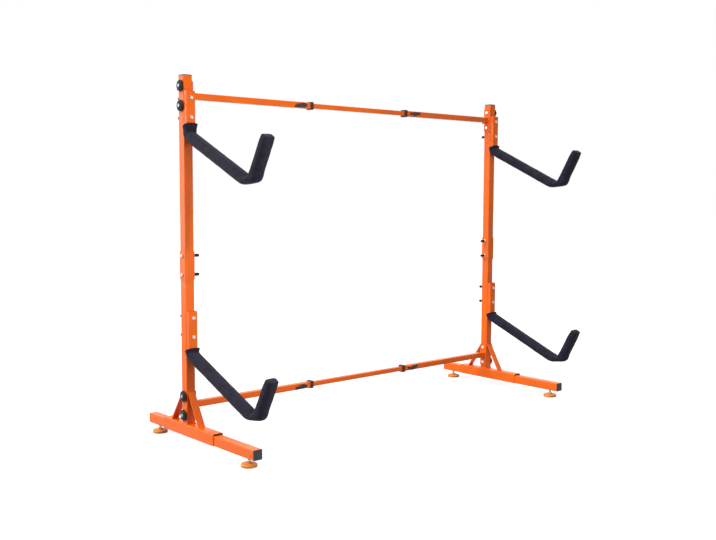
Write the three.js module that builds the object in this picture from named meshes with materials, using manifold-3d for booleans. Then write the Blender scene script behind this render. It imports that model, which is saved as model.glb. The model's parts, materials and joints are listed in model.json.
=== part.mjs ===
// A freestanding two-tier kayak stand: two bolted uprights on foot beams, joined by two
// telescopic rails, with four padded arms. Millimetres. +X runs along the rails, +Z is up
// and the arms reach towards -Y.
import * as THREE from "three";
import { mergeVertices } from "three/addons/utils/BufferGeometryUtils.js";
import Module from "manifold-3d";

const wasm = await Module();
wasm.setup();

// Clearances and cuts
const seat_gap = 0.3; // between two pieces that rest on each other
const fit_clearance = 0.3; // on each side of a bolt, pin or tube in its hole
const cut_overrun = 3; // how far a cutting tool runs past the material
const weld_depth = 1; // how far welded members run into each other

// Uprights
const post_spacing = 1747; // centre to centre of the two uprights
const post_size = 38;
const post_wall = 1.5;
const upright_height = 1408; // floor to the top of the cap
const cap_flange = 3;
const plug_insert = 16; // length of a plug inside its tube
const coupler_height = 692; // height of the joint between lower and upper post
const coupler_length = 108;
const coupler_wall = 2.4;
const coupler_bolt_offset = 36.5; // from the joint to each bolt

// Foot
const foot_size = 38;
const foot_wall = 1.5;
const foot_underside = 34; // height of the beam over the floor
const foot_front_overhang = 52; // from the front levelling foot to the end of the tube
const foot_rear_overhang = 50;
const plug_flange = 2.5;
const saddle_wall = 3;
const saddle_front_reach = 204;
const saddle_rear_reach = 154;
const brace_width = 30;
const brace_thickness = 5;
const brace_rise = 134; // height of a brace's top over the saddle
const front_brace_reach = 76; // distance of the front brace's foot from the post
const rear_brace_reach = 88;

// Levelling feet
const front_foot_reach = 403;
const rear_foot_reach = 221;
const foot_pad_radius = 30;
const foot_pad_bevel = 1.25; // bevel round the pad's underside
const foot_pad_edge = 9; // height of the pad's rim
const foot_cone_height = 14;
const foot_hub_radius = 9;
const foot_hub_height = 19;
const foot_stud_radius = 5;
const foot_stud_height = 60; // floor to the end of the stud
const stud_boss_radius = 9;
const stud_boss_height = 10;

// Rails
const upper_rail_drop = 78; // upright's top down to the rail's centre
const lower_rail_height = 151;
const rail_size = 25;
const rail_wall = 1.5;
const rail_reach = 606; // upright centre to the mouth of the collar
const inner_rail_size = 20;
const inner_rail_wall = 1.2;
const inner_rail_insert = 100; // length of the inner rail inside each outer tube
const flange_thickness = 3;
const flange_margin = 19; // from a bolt's centre to the end of the flange
const knob_offset = 37; // from the rail's centre to each knob

// Bolts
const bolt_radius = 4;
const hex_radius = 7.5; // centre to corner of a hexagon head or nut
const head_thickness = 5.5;
const nut_thickness = 5.5;
const bolt_tail = 1; // thread that shows past a weld nut
const capped_thread = 11; // bare thread between a nut and the cap on the bolt's end
const thread_cap_length = 14;
const thread_cap_radius = 6.5;

// Star knobs
const knob_radius = 22;
const knob_lobe_depth = 1.6;
const knob_head_thickness = 9;
const knob_hub_radius = 10;
const knob_stand_off = 2.5; // hub height between the post and the head
const knob_button_radius = 6.5;
const knob_button_rise = 1;

// Rail collars and cam levers
const collar_wall = 3.2;
const collar_length = 15;
const collar_lip = 3;
const lever_ear_thickness = 2.5;
const lever_ear_half_length = 7.2;
const lever_ear_rise = 5.2; // past the pin, away from the rail
const lever_pin_radius = 2;
const lever_pin_stand_off = 6; // from the rail's face to the pin
const lever_pin_setback = 44; // from the mouth to the pin
const cam_offset = 1; // centre of the cam's circle from the pin
const cam_height = 12.6;
const lever_length = 52; // pin to tip
const lever_height = 22;
const lever_root_thickness = 8.2;
const lever_tip_thickness = 3.4;
const lever_face_gap = 2; // between the closed grip and the rail

// Arms. Each is a flat bracket tube bolted to the post, and a narrower hooked tube.
const upper_arm_drop = 61; // upright's top down to the bracket's top end
const lower_arm_top = 518;
const bracket_width = 38;
const arm_depth = 20;
const bracket_length = 157;
const bracket_floor = 3;
const arm_bolt_first = 25; // from the bracket's top end
const arm_bolt_pitch = 73;
const arm_width = 27;
const arm_wall = 1.5;
const arm_corner = 4; // bevel of the tube's edges
const root_drop = 167.5; // bracket's top end down to the vertex of the root bend
const root_bend_radius = 14;
const upper_arm_reach = 433; // upright centre to the vertex of the hook bend
const upper_hook_drop = 351; // bracket's top end down to the same vertex
const upper_hook_rise = THREE.MathUtils.degToRad(61.2);
const upper_hook_length = 182; // vertex to the end of the tube
const lower_arm_reach = 457;
const lower_hook_drop = 347;
const lower_hook_rise = THREE.MathUtils.degToRad(62);
const lower_hook_length = 174;
const hook_bend_radius = 60;

// Foam pads
const pad_width = 50;
const pad_depth = 41.8;
const pad_clearance = 0.4;
const pad_end = 8; // foam past the end of the tube
const pad_bend_squeeze = 5.5; // depth lost where the foam is stretched round the hook bend
const pad_rim_tilt = THREE.MathUtils.degToRad(22);
const pad_rim_drops = { // bracket's top end down to the middle of the foam's rim
  left_upper: 127,
  left_lower: 146,
  right_upper: 150,
  right_lower: 154,
};

// Facets
const bolt_sides = 12;
const hexagon_sides = 6;
const knob_lobes = 8;
const knob_lobe_points = 4;
const knob_hub_sides = 12;
const foot_sides = 20;
const cam_sides = 20;
const root_bend_steps = 3;
const hook_bend_steps = 7;
const pad_sides = 20;
const pad_knuckle_sides = 16;
const pad_roundness = 2.5; // exponent of the pad's outline, 2 is an ellipse

// Derived sizes
const foot_front_reach = front_foot_reach + foot_front_overhang; // upright centre to the tube's end
const foot_rear_reach = rear_foot_reach + foot_rear_overhang;
const upper_rail_height = upright_height - upper_rail_drop;
const upper_arm_top = upright_height - upper_arm_drop;
const saddle_top = foot_underside + foot_size + seat_gap + saddle_wall;
const post_top = upright_height - cap_flange - seat_gap;
const coupler_size = post_size + 2 * (fit_clearance + coupler_wall);
const flange_height = 2 * (knob_offset + flange_margin);
const flange_face = post_size / 2 + seat_gap + flange_thickness;
const arm_centre = post_size / 2 + seat_gap + arm_depth / 2;
const bracket_back = arm_depth / 2 - arm_centre;
const pin_hole_radius = lever_pin_radius + fit_clearance;
const bolt_hole_radius = bolt_radius + fit_clearance;
const stud_hole_radius = foot_stud_radius + fit_clearance;
const cam_reach = lever_pin_stand_off + rail_wall; // from the pin to the inner rail's clearance
const cam_radius = cam_reach - cam_offset;

// Colours
const orange_paint = { color: 0xf2702a, roughness: 0.38, metalness: 0.05 };
const amber_plastic = { color: 0xd9822f, roughness: 0.5, metalness: 0 };
const black_plastic = { color: 0x1f2226, roughness: 0.5, metalness: 0 };
const grey_plastic = { color: 0x454b52, roughness: 0.55, metalness: 0 };
const black_foam = { color: 0x25282c, roughness: 0.95, metalness: 0 };
const zinc = { color: 0xc9ccd0, roughness: 0.3, metalness: 0.9 };

// Solids from three.js geometry

function toSolid(geometry) {
  geometry.deleteAttribute("normal");
  geometry.deleteAttribute("uv");
  const merged = mergeVertices(geometry);
  return new wasm.Manifold(
    new wasm.Mesh({
      numProp: 3,
      vertProperties: merged.attributes.position.array,
      triVerts: Uint32Array.from(merged.index.array),
    }),
  );
}

function block(x, y, z) {
  const geometry = new THREE.BoxGeometry(x[1] - x[0], y[1] - y[0], z[1] - z[0]);
  geometry.translate((x[0] + x[1]) / 2, (y[0] + y[1]) / 2, (z[0] + z[1]) / 2);
  return toSolid(geometry);
}

// A rod along the named axis, from one coordinate to another, through the point centre
function rod(axis, radius, from, to, centre = [0, 0, 0], sides = bolt_sides) {
  const geometry = new THREE.CylinderGeometry(radius, radius, to - from, sides);
  geometry.translate(0, (from + to) / 2, 0);
  if (axis === "x") geometry.rotateZ(-Math.PI / 2);
  if (axis === "z") geometry.rotateX(Math.PI / 2);
  geometry.translate(...centre);
  return toSolid(geometry);
}

// A square tube about the named axis, open at both ends
function squareTube(axis, size, wall, from, to) {
  const outer = [-size / 2, size / 2];
  const inner = [wall - size / 2, size / 2 - wall];
  const run = [from, to];
  const cut = [from - cut_overrun, to + cut_overrun];
  if (axis === "x") return block(run, outer, outer).subtract(block(cut, inner, inner));
  if (axis === "y") return block(outer, run, outer).subtract(block(inner, cut, inner));
  return block(outer, outer, run).subtract(block(inner, inner, cut));
}

function extruded(points, depth) {
  const shape = new THREE.Shape(points.map(([x, y]) => new THREE.Vector2(x, y)));
  const geometry = new THREE.ExtrudeGeometry(shape, { depth, bevelEnabled: false, steps: 1 });
  geometry.translate(0, 0, -depth / 2);
  return geometry;
}

function addPiece(parent, name, solid, look) {
  const mesh = solid.getMesh();
  const geometry = new THREE.BufferGeometry();
  geometry.setAttribute("position", new THREE.BufferAttribute(mesh.vertProperties, 3));
  geometry.setIndex(new THREE.BufferAttribute(mesh.triVerts, 1));
  geometry.computeVertexNormals();
  const piece = new THREE.Mesh(geometry, new THREE.MeshStandardMaterial(look));
  piece.name = name;
  parent.add(piece);
  return piece;
}

// Fasteners. Each lies along +Z, with the seat of its head at zero.

// A hexagon bolt with a long thread that ends in a plastic cap
function cappedBolt(stack) {
  const nut_end = stack + nut_thickness;
  const cap_start = nut_end + capped_thread;
  const cap_end = cap_start + thread_cap_length;
  return rod("z", bolt_radius, -head_thickness / 2, cap_end - thread_cap_length / 2)
    .add(rod("z", hex_radius, -head_thickness, 0, undefined, hexagon_sides))
    .add(rod("z", hex_radius, stack, nut_end, undefined, hexagon_sides))
    .add(rod("z", thread_cap_radius, cap_start, cap_end));
}

// A star knob moulded on its bolt. The hub's seat is at zero and the bolt runs towards +Z.
function starKnob(bolt_length) {
  const count = knob_lobes * knob_lobe_points;
  const outline = [];
  for (let i = 0; i < count; i++) {
    const turn = (i / count) * 2 * Math.PI;
    const radius = knob_radius - (knob_lobe_depth * (1 - Math.cos(turn * knob_lobes))) / 2;
    outline.push([radius * Math.cos(turn), radius * Math.sin(turn)]);
  }
  const head = extruded(outline, knob_head_thickness);
  head.translate(0, 0, -knob_stand_off - knob_head_thickness / 2);
  const head_end = -knob_stand_off - knob_head_thickness;
  return toSolid(head)
    .add(rod("z", knob_hub_radius, head_end / 2, 0, undefined, knob_hub_sides))
    .add(rod("z", knob_button_radius, head_end - knob_button_rise, head_end / 2))
    .add(rod("z", bolt_radius, head_end / 2, bolt_length));
}

// Foot

function footBeam() {
  const reach = [-foot_front_reach, foot_rear_reach];
  let beam = squareTube("y", foot_size, foot_wall, ...reach);
  const floor = foot_wall - foot_size / 2;
  for (const y of [-front_foot_reach, rear_foot_reach]) {
    const boss = rod("z", stud_boss_radius, floor - foot_wall / 2, floor + stud_boss_height, [0, y, 0]);
    const bore = rod(
      "z",
      stud_hole_radius,
      -foot_size / 2 - cut_overrun,
      floor + stud_boss_height + cut_overrun,
      [0, y, 0],
    );
    beam = beam.add(boss).subtract(bore);
  }
  return beam;
}

// A square plug along +Z: a flange at the mouth of the tube and an insert inside it
function squarePlug(size, wall, flange) {
  const half = size / 2;
  const inner = half - wall - fit_clearance;
  return block([-half, half], [-half, half], [0, flange]).add(
    block([-inner, inner], [-inner, inner], [-seat_gap - plug_insert, flange / 2]),
  );
}

function levellingFoot() {
  const profile = [
    [0, 0],
    [foot_pad_radius - foot_pad_bevel, 0],
    [foot_pad_radius, foot_pad_bevel],
    [foot_pad_radius, foot_pad_edge],
    [foot_pad_radius - 2 * foot_pad_bevel, foot_pad_edge + 2 * foot_pad_bevel],
    [(foot_pad_radius + foot_hub_radius) / 2, (foot_pad_edge + foot_cone_height) / 2],
    [foot_hub_radius, foot_cone_height],
    [foot_hub_radius, foot_hub_height],
    [foot_stud_radius, foot_hub_height],
    [foot_stud_radius, foot_stud_height],
    [0, foot_stud_height],
  ].map(([r, z]) => new THREE.Vector2(r, z));
  const geometry = new THREE.LatheGeometry(profile, foot_sides);
  geometry.rotateX(Math.PI / 2);
  return toSolid(geometry);
}

// A flat brace from the post's face down to the saddle, on the side that the turn gives
function brace(reach, turn) {
  const post_face = post_size / 2;
  const foot = [post_face + reach, saddle_top];
  const top = [post_face, saddle_top + brace_rise];
  const run = new THREE.Vector2(foot[0] - top[0], foot[1] - top[1]);
  const along = brace_thickness / Math.abs(run.y / run.length());
  const up = brace_thickness / (run.x / run.length());
  const outline = [
    [foot[0], saddle_top - weld_depth],
    [top[0] - weld_depth, top[1] + weld_depth],
    [top[0] - weld_depth, top[1] - up],
    [foot[0] - along, saddle_top - weld_depth],
  ];
  const geometry = extruded(outline, brace_width);
  geometry.rotateX(Math.PI / 2);
  geometry.rotateZ(Math.PI / 2 + turn);
  return toSolid(geometry);
}

// Saddle, lower post and two braces, welded into one
function footFrame() {
  const inner = foot_size / 2 + fit_clearance;
  const outer = inner + saddle_wall;
  const half_post = post_size / 2;
  const across = [-half_post, half_post];
  const run = [-saddle_front_reach, saddle_rear_reach];
  const cut = [run[0] - cut_overrun, run[1] + cut_overrun];
  const hollow = [foot_underside - cut_overrun, saddle_top - saddle_wall];
  const post_foot = saddle_top - weld_depth;
  let frame = block([-outer, outer], run, [foot_underside, saddle_top])
    .subtract(block([-inner, inner], cut, hollow))
    .add(squareTube("z", post_size, post_wall, post_foot, coupler_height - seat_gap / 2))
    .add(block(across, across, [post_foot, saddle_top]))
    .add(brace(rear_brace_reach, 0))
    .add(brace(front_brace_reach, Math.PI));
  for (const z of knobHeights(lower_rail_height)) frame = frame.subtract(crossBore("x", z));
  for (const z of armBoltHeights(lower_arm_top)) frame = frame.subtract(crossBore("y", z));
  return frame.subtract(crossBore("x", coupler_height - coupler_bolt_offset));
}

// Uprights

function knobHeights(rail_height) {
  return [rail_height + knob_offset, rail_height - knob_offset];
}

function armBoltHeights(arm_top) {
  return [arm_top - arm_bolt_first, arm_top - arm_bolt_first - arm_bolt_pitch];
}

// A bolt hole right through the post, along the named axis
function crossBore(axis, z) {
  const end = coupler_size / 2 + cut_overrun;
  return rod(axis, bolt_hole_radius, -end, end, [0, 0, z]);
}

function upperPost() {
  let post = squareTube("z", post_size, post_wall, coupler_height + seat_gap / 2, post_top);
  for (const z of knobHeights(upper_rail_height)) post = post.subtract(crossBore("x", z));
  for (const z of armBoltHeights(upper_arm_top)) post = post.subtract(crossBore("y", z));
  return post.subtract(crossBore("x", coupler_height + coupler_bolt_offset));
}

function postCoupler() {
  const half = coupler_length / 2;
  return squareTube("z", coupler_size, coupler_wall, -half, half)
    .subtract(crossBore("x", coupler_bolt_offset))
    .subtract(crossBore("x", -coupler_bolt_offset));
}

// Arms. The path lies in the plane of Y and Z, from the arm's top end at zero height.

// A path through given points. Each section stands square to its own direction, and its
// depth can be scaled.
class BentPath extends THREE.Curve {
  constructor(stations) {
    super();
    this.stations = stations;
  }
  getSpacedPoints() {
    return this.stations.map(({ point }) => point.clone());
  }
  computeFrenetFrames() {
    const tangents = this.stations.map(({ direction }) => direction);
    const normals = tangents.map(() => new THREE.Vector3(1, 0, 0));
    const binormals = this.stations.map(({ direction, scale = 1 }, i) =>
      new THREE.Vector3().crossVectors(direction, normals[i]).multiplyScalar(scale),
    );
    return { tangents, normals, binormals };
  }
}

const upper_shape = {
  reach: upper_arm_reach,
  drop: upper_hook_drop,
  rise: upper_hook_rise,
  length: upper_hook_length,
};
const lower_shape = {
  reach: lower_arm_reach,
  drop: lower_hook_drop,
  rise: lower_hook_rise,
  length: lower_hook_length,
};

// Stations along the arm's centre line, each with a point and a direction. Angles are
// measured from straight down, turning towards the front.
function armStations(form) {
  const down = 0;
  const root = new THREE.Vector3(0, -arm_centre, -root_drop);
  const corner = new THREE.Vector3(0, -form.reach, -form.drop);
  const lower = Math.atan2(form.reach - arm_centre, form.drop - root_drop);
  const hook = Math.PI / 2 + form.rise;
  const heading = (angle) => new THREE.Vector3(0, -Math.sin(angle), -Math.cos(angle));
  const start = new THREE.Vector3(0, -arm_centre, weld_depth - bracket_length);
  const stations = [{ point: start, direction: heading(down) }];
  const addBend = (vertex, from, to, radius, steps) => {
    const tangent = radius * Math.tan((to - from) / 2);
    const begin = vertex.clone().addScaledVector(heading(from), -tangent);
    const side = new THREE.Vector3(0, -Math.cos(from), Math.sin(from));
    const centre = begin.clone().addScaledVector(side, radius);
    for (let i = 0; i <= steps; i++) {
      const angle = from + ((to - from) * i) / steps;
      const out = new THREE.Vector3(0, -Math.cos(angle), Math.sin(angle));
      stations.push({
        point: centre.clone().addScaledVector(out, -radius),
        direction: heading(angle),
      });
    }
  };
  addBend(root, down, lower, root_bend_radius, root_bend_steps);
  addBend(corner, lower, hook, hook_bend_radius, hook_bend_steps);
  stations.push({
    point: corner.clone().addScaledVector(heading(hook), form.length),
    direction: heading(hook),
  });
  return stations;
}

function swept(stations, outline) {
  const shape = new THREE.Shape(outline.map(([x, y]) => new THREE.Vector2(x, y)));
  const geometry = new THREE.ExtrudeGeometry(shape, {
    steps: stations.length - 1,
    extrudePath: new BentPath(stations),
  });
  return toSolid(geometry);
}

// A rectangle with bevelled corners
function tubeOutline(width, depth, corner) {
  const x = width / 2;
  const y = depth / 2;
  return [
    [x - corner, -y],
    [x, corner - y],
    [x, y - corner],
    [x - corner, y],
    [corner - x, y],
    [-x, y - corner],
    [-x, corner - y],
    [corner - x, -y],
  ];
}

function padOutline(width, depth) {
  const outline = [];
  for (let i = 0; i < pad_sides; i++) {
    const turn = (i / pad_sides) * 2 * Math.PI;
    const bend = (value) => Math.sign(value) * Math.abs(value) ** (2 / pad_roundness);
    outline.push([(bend(Math.cos(turn)) * width) / 2, (bend(Math.sin(turn)) * depth) / 2]);
  }
  return outline;
}

// The same stations with the first moved back and the last moved on
function stretched(stations, back, forward) {
  const copy = stations.map((station) => ({ ...station, point: station.point.clone() }));
  const first = copy[0];
  const last = copy[copy.length - 1];
  first.point.addScaledVector(first.direction, -back);
  last.point.addScaledVector(last.direction, forward);
  return copy;
}

// A block of the bracket's outline, grown on every side and open upwards
function bracketBlock(grow, top, bottom) {
  const x = bracket_width / 2 + grow;
  const y = arm_depth / 2 + grow;
  return block([-x, x], [-arm_centre - y, y - arm_centre], [bottom, top]);
}

function arm(form) {
  const stations = armStations(form);
  const bracket = bracketBlock(0, 0, -bracket_length).subtract(
    bracketBlock(-arm_wall, cut_overrun, bracket_floor - bracket_length),
  );
  const bore_width = arm_width - 2 * arm_wall;
  const bore_depth = arm_depth - 2 * arm_wall;
  const bore = tubeOutline(bore_width, bore_depth, arm_corner - arm_wall / 2);
  let tube = bracket
    .add(swept(stations, tubeOutline(arm_width, arm_depth, arm_corner)))
    .subtract(swept(stretched(stations, bracket_floor, cut_overrun), bore));
  const front = -arm_centre - arm_depth / 2 - cut_overrun;
  for (const z of armBoltHeights(0)) {
    const hole = rod("y", bolt_hole_radius, front, bracket_back + cut_overrun, [0, 0, z]);
    tube = tube.subtract(hole);
  }
  return tube;
}

// The foam's outline turned about X, which fills the corner between two straight sleeves
function padKnuckle() {
  const half = padOutline(pad_width, pad_depth).slice(0, pad_sides / 2 + 1).reverse();
  const profile = half.map(([x, y]) => new THREE.Vector2(Math.max(y, 0), x));
  const geometry = new THREE.LatheGeometry(profile, pad_knuckle_sides);
  geometry.rotateZ(-Math.PI / 2);
  geometry.translate(0, -arm_centre, -root_drop);
  return toSolid(geometry);
}

// The foam runs from over the end of the bracket, where it is pressed flat against the post,
// to past the end of the arm
function armPad(form, rim_drop) {
  const outline = padOutline(pad_width, pad_depth);
  const root = new THREE.Vector3(0, -arm_centre, -root_drop);
  const stations = armStations(form).slice(1 + root_bend_steps);
  const turn_start = stations[0].direction;
  stations.forEach((station, i) => {
    const share = Math.min(i / hook_bend_steps, 1);
    const squeeze = pad_bend_squeeze * Math.sin(share * Math.PI);
    const inward = new THREE.Vector3(0, station.direction.z, -station.direction.y);
    station.point.addScaledVector(inward, squeeze / 2);
    station.scale = 1 - squeeze / pad_depth;
  });
  const sleeve = swept(
    stretched([{ point: root, direction: turn_start }, ...stations], 0, pad_end),
    outline,
  );
  const cuff_top = pad_depth - rim_drop;
  const cuff_height = cuff_top + root_drop;
  const cuff = extruded(outline, cuff_height);
  cuff.translate(0, -arm_centre, cuff_top - cuff_height / 2);
  const rim = new THREE.BoxGeometry(2 * pad_width, 2 * pad_width, 2 * pad_width);
  rim.translate(0, 0, pad_width);
  rim.rotateX(-pad_rim_tilt);
  rim.translate(0, -arm_centre, -rim_drop);
  const hole_width = arm_width + 2 * pad_clearance;
  const hole_depth = arm_depth + 2 * pad_clearance;
  const arm_hole = swept(
    stretched(armStations(form), bracket_floor, pad_clearance),
    tubeOutline(hole_width, hole_depth, arm_corner),
  );
  const behind = block(
    [-pad_width, pad_width],
    [-post_size / 2 - seat_gap, pad_width],
    [-form.drop, 0],
  );
  return sleeve
    .add(padKnuckle())
    .add(toSolid(cuff))
    .subtract(toSolid(rim))
    .subtract(bracketBlock(pad_clearance, cut_overrun, -bracket_length - pad_clearance))
    .subtract(arm_hole)
    .subtract(behind);
}

// Rails. Each outer tube lies along +X, with the centre of its upright at zero.

function railTube() {
  const tube_end = rail_reach - collar_lip - seat_gap;
  const face = flange_face;
  const half_height = flange_height / 2;
  const across = [-post_size / 2, post_size / 2];
  let rail = block([face - flange_thickness, face], across, [-half_height, half_height]);
  rail = rail.add(squareTube("x", rail_size, rail_wall, face - weld_depth, tube_end));
  const nut_end = face + nut_thickness;
  for (const z of knobHeights(0)) {
    const nut = rod("x", hex_radius, face - weld_depth, nut_end, [0, 0, z], hexagon_sides);
    const hole = rod("x", bolt_hole_radius, 0, nut_end + cut_overrun, [0, 0, z]);
    rail = rail.add(nut).subtract(hole);
  }
  const pin_x = rail_reach - lever_pin_setback;
  const pin_y = -rail_size / 2 - lever_pin_stand_off;
  const ear_inside = cam_height / 2 + fit_clearance;
  const ear_outside = ear_inside + lever_ear_thickness;
  const ear_x = [pin_x - lever_ear_half_length, pin_x + lever_ear_half_length];
  const ear_y = [pin_y - lever_ear_rise, weld_depth - rail_size / 2];
  rail = rail
    .add(block(ear_x, ear_y, [ear_inside, ear_outside]))
    .add(block(ear_x, ear_y, [-ear_outside, -ear_inside]));
  const hole_end = ear_outside + cut_overrun;
  return rail
    .subtract(camWindow())
    .subtract(rod("z", pin_hole_radius, -hole_end, hole_end, [pin_x, pin_y, 0]));
}

// The slot in the rail's front wall that the cam presses through
function camWindow() {
  const x = rail_reach - lever_pin_setback;
  const half_length = cam_radius + cam_offset + fit_clearance;
  const half_height = cam_height / 2 + fit_clearance;
  const face = -rail_size / 2;
  return block(
    [x - half_length, x + half_length],
    [face - lever_pin_stand_off, face + rail_wall + cut_overrun / 2],
    [-half_height, half_height],
  );
}

// A plastic collar over the mouth of an outer tube, with a lip that guides the inner rail
function railCollar() {
  const bore = rail_size / 2 + fit_clearance;
  const outer = bore + collar_wall;
  const lip_bore = inner_rail_size / 2 + fit_clearance;
  const start = rail_reach - collar_length;
  const lip = rail_reach - collar_lip;
  const ring = block([start, rail_reach], [-outer, outer], [-outer, outer]);
  const socket = block([start - cut_overrun, lip], [-bore, bore], [-bore, bore]);
  const mouth = block(
    [lip - cut_overrun, rail_reach + cut_overrun],
    [-lip_bore, lip_bore],
    [-lip_bore, lip_bore],
  );
  return ring.subtract(socket).subtract(mouth);
}

// A cam lever with its pin. The pin's axis is Z through zero, the rail lies on the +Y side
// and the closed grip points towards -X.
function camLever() {
  const cam = rod("z", cam_radius, -cam_height / 2, cam_height / 2, [0, cam_offset, 0], cam_sides);
  const grip_back = lever_pin_stand_off - lever_face_gap;
  const front = cam_offset - cam_radius;
  const grip_start = -lever_ear_half_length - lever_face_gap;
  const tip_front = grip_back - lever_tip_thickness;
  const grip_front = grip_back - lever_root_thickness;
  const neck = extruded(
    [
      [0, front],
      [0, grip_back],
      [grip_start - weld_depth, grip_back],
      [grip_start - weld_depth, grip_front],
    ].reverse(),
    cam_height,
  );
  const grip = extruded(
    [
      [grip_start, grip_back],
      [-lever_length, grip_back],
      [-lever_length, tip_front],
      [grip_start, grip_front],
    ],
    lever_height,
  );
  const pin_end = cam_height / 2 + fit_clearance + lever_ear_thickness;
  return cam
    .add(toSolid(neck))
    .add(toSolid(grip))
    .add(rod("z", lever_pin_radius, -pin_end, pin_end));
}

function innerRail() {
  const length = post_spacing - 2 * rail_reach + 2 * inner_rail_insert;
  return squareTube("x", inner_rail_size, inner_rail_wall, -length / 2, length / 2);
}

// Assembly

const stand = new THREE.Group();

// One upright with all that it carries. The left one's inner side, where the rails are, is
// +X. Pieces that point inwards are turned half round about Y on the right-hand upright, so
// that each is the same part on both sides.
function addUpright(side) {
  const left = side === "left";
  const upright = new THREE.Group();
  upright.position.x = left ? -post_spacing / 2 : post_spacing / 2;
  stand.add(upright);
  const turn = left ? 0 : Math.PI;
  const inward = left ? 1 : -1;
  const add = (name, solid, look, x, y, z) => {
    const piece = addPiece(upright, side + "_" + name, solid, look);
    piece.position.set(x, y, z);
    return piece;
  };

  const beam_height = foot_underside + foot_size / 2;
  add("foot_beam", footBeam(), orange_paint, 0, 0, beam_height);
  const foot_plug = squarePlug(foot_size, foot_wall, plug_flange);
  const front_y = -foot_front_reach - seat_gap;
  add("foot_front_plug", foot_plug, grey_plastic, 0, front_y, beam_height).rotation.x = Math.PI / 2;
  const rear_y = foot_rear_reach + seat_gap;
  add("foot_rear_plug", foot_plug, grey_plastic, 0, rear_y, beam_height).rotation.x = -Math.PI / 2;
  add("foot_frame", footFrame(), orange_paint, 0, 0, 0);
  add("front_levelling_foot", levellingFoot(), amber_plastic, 0, -front_foot_reach, 0);
  add("rear_levelling_foot", levellingFoot(), amber_plastic, 0, rear_foot_reach, 0);

  add("upper_post", upperPost(), orange_paint, 0, 0, 0);
  const cap = squarePlug(post_size, post_wall, cap_flange);
  add("post_cap", cap, black_plastic, 0, 0, post_top + seat_gap);
  add("post_coupler", postCoupler(), orange_paint, 0, 0, coupler_height);
  const coupler_face = coupler_size / 2 + seat_gap;
  for (const [name, z] of [
    ["upper", coupler_height + coupler_bolt_offset],
    ["lower", coupler_height - coupler_bolt_offset],
  ]) {
    const bolt = cappedBolt(2 * coupler_face);
    const piece = add(name + "_coupler_bolt", bolt, zinc, -inward * coupler_face, 0, z);
    piece.rotation.y = (inward * Math.PI) / 2;
  }

  for (const [name, top, form] of [
    ["upper", upper_arm_top, upper_shape],
    ["lower", lower_arm_top, lower_shape],
  ]) {
    add(name + "_arm", arm(form), orange_paint, 0, 0, top);
    const pad = armPad(form, pad_rim_drops[side + "_" + name]);
    add(name + "_arm_pad", pad, black_foam, 0, 0, top);
    const head_seat = -arm_centre - arm_depth / 2 - seat_gap;
    const stack = post_size / 2 + seat_gap - head_seat;
    armBoltHeights(top).forEach((z, i) => {
      const bolt_name = name + "_arm_" + (i ? "lower" : "upper") + "_bolt";
      add(bolt_name, cappedBolt(stack), zinc, 0, head_seat, z).rotation.x = -Math.PI / 2;
    });
  }

  for (const [name, height] of [
    ["upper", upper_rail_height],
    ["lower", lower_rail_height],
  ]) {
    add(name + "_rail_tube", railTube(), orange_paint, 0, 0, height).rotation.y = turn;
    add(name + "_rail_collar", railCollar(), black_plastic, 0, 0, height).rotation.y = turn;
    const pin_x = inward * (rail_reach - lever_pin_setback);
    const pin_y = -rail_size / 2 - lever_pin_stand_off;
    add(name + "_rail_lever", camLever(), grey_plastic, pin_x, pin_y, height).rotation.y = turn;
    const knob_seat = post_size / 2 + seat_gap;
    const bolt_length = knob_seat + flange_face + nut_thickness + bolt_tail;
    knobHeights(height).forEach((z, i) => {
      const knob_name = name + "_rail_" + (i ? "lower" : "upper") + "_knob";
      const piece = add(knob_name, starKnob(bolt_length), black_plastic, -inward * knob_seat, 0, z);
      piece.rotation.y = (inward * Math.PI) / 2;
    });
  }
}

addUpright("left");
addUpright("right");

for (const [name, height] of [
  ["upper_inner_rail", upper_rail_height],
  ["lower_inner_rail", lower_rail_height],
]) {
  addPiece(stand, name, innerRail(), orange_paint).position.set(0, 0, height);
}

// The origin is on the floor, at the middle of the stand's outline
stand.updateMatrixWorld(true);
const outline_box = new THREE.Box3().setFromObject(stand);
const middle = outline_box.getCenter(new THREE.Vector3());
stand.position.set(-middle.x, -middle.y, -outline_box.min.z);

export default stand;
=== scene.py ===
"""Looks for a freestanding kayak stand: two bolted uprights, two telescopic rails, four padded arms.

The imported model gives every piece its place. Each operator makes one kind of piece around it,
and main() runs them in order.
"""

import json
import math
from itertools import product

import bmesh
import bpy
from bpy.props import FloatProperty, FloatVectorProperty, IntProperty, PointerProperty
from mathutils import Matrix, Vector

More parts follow.
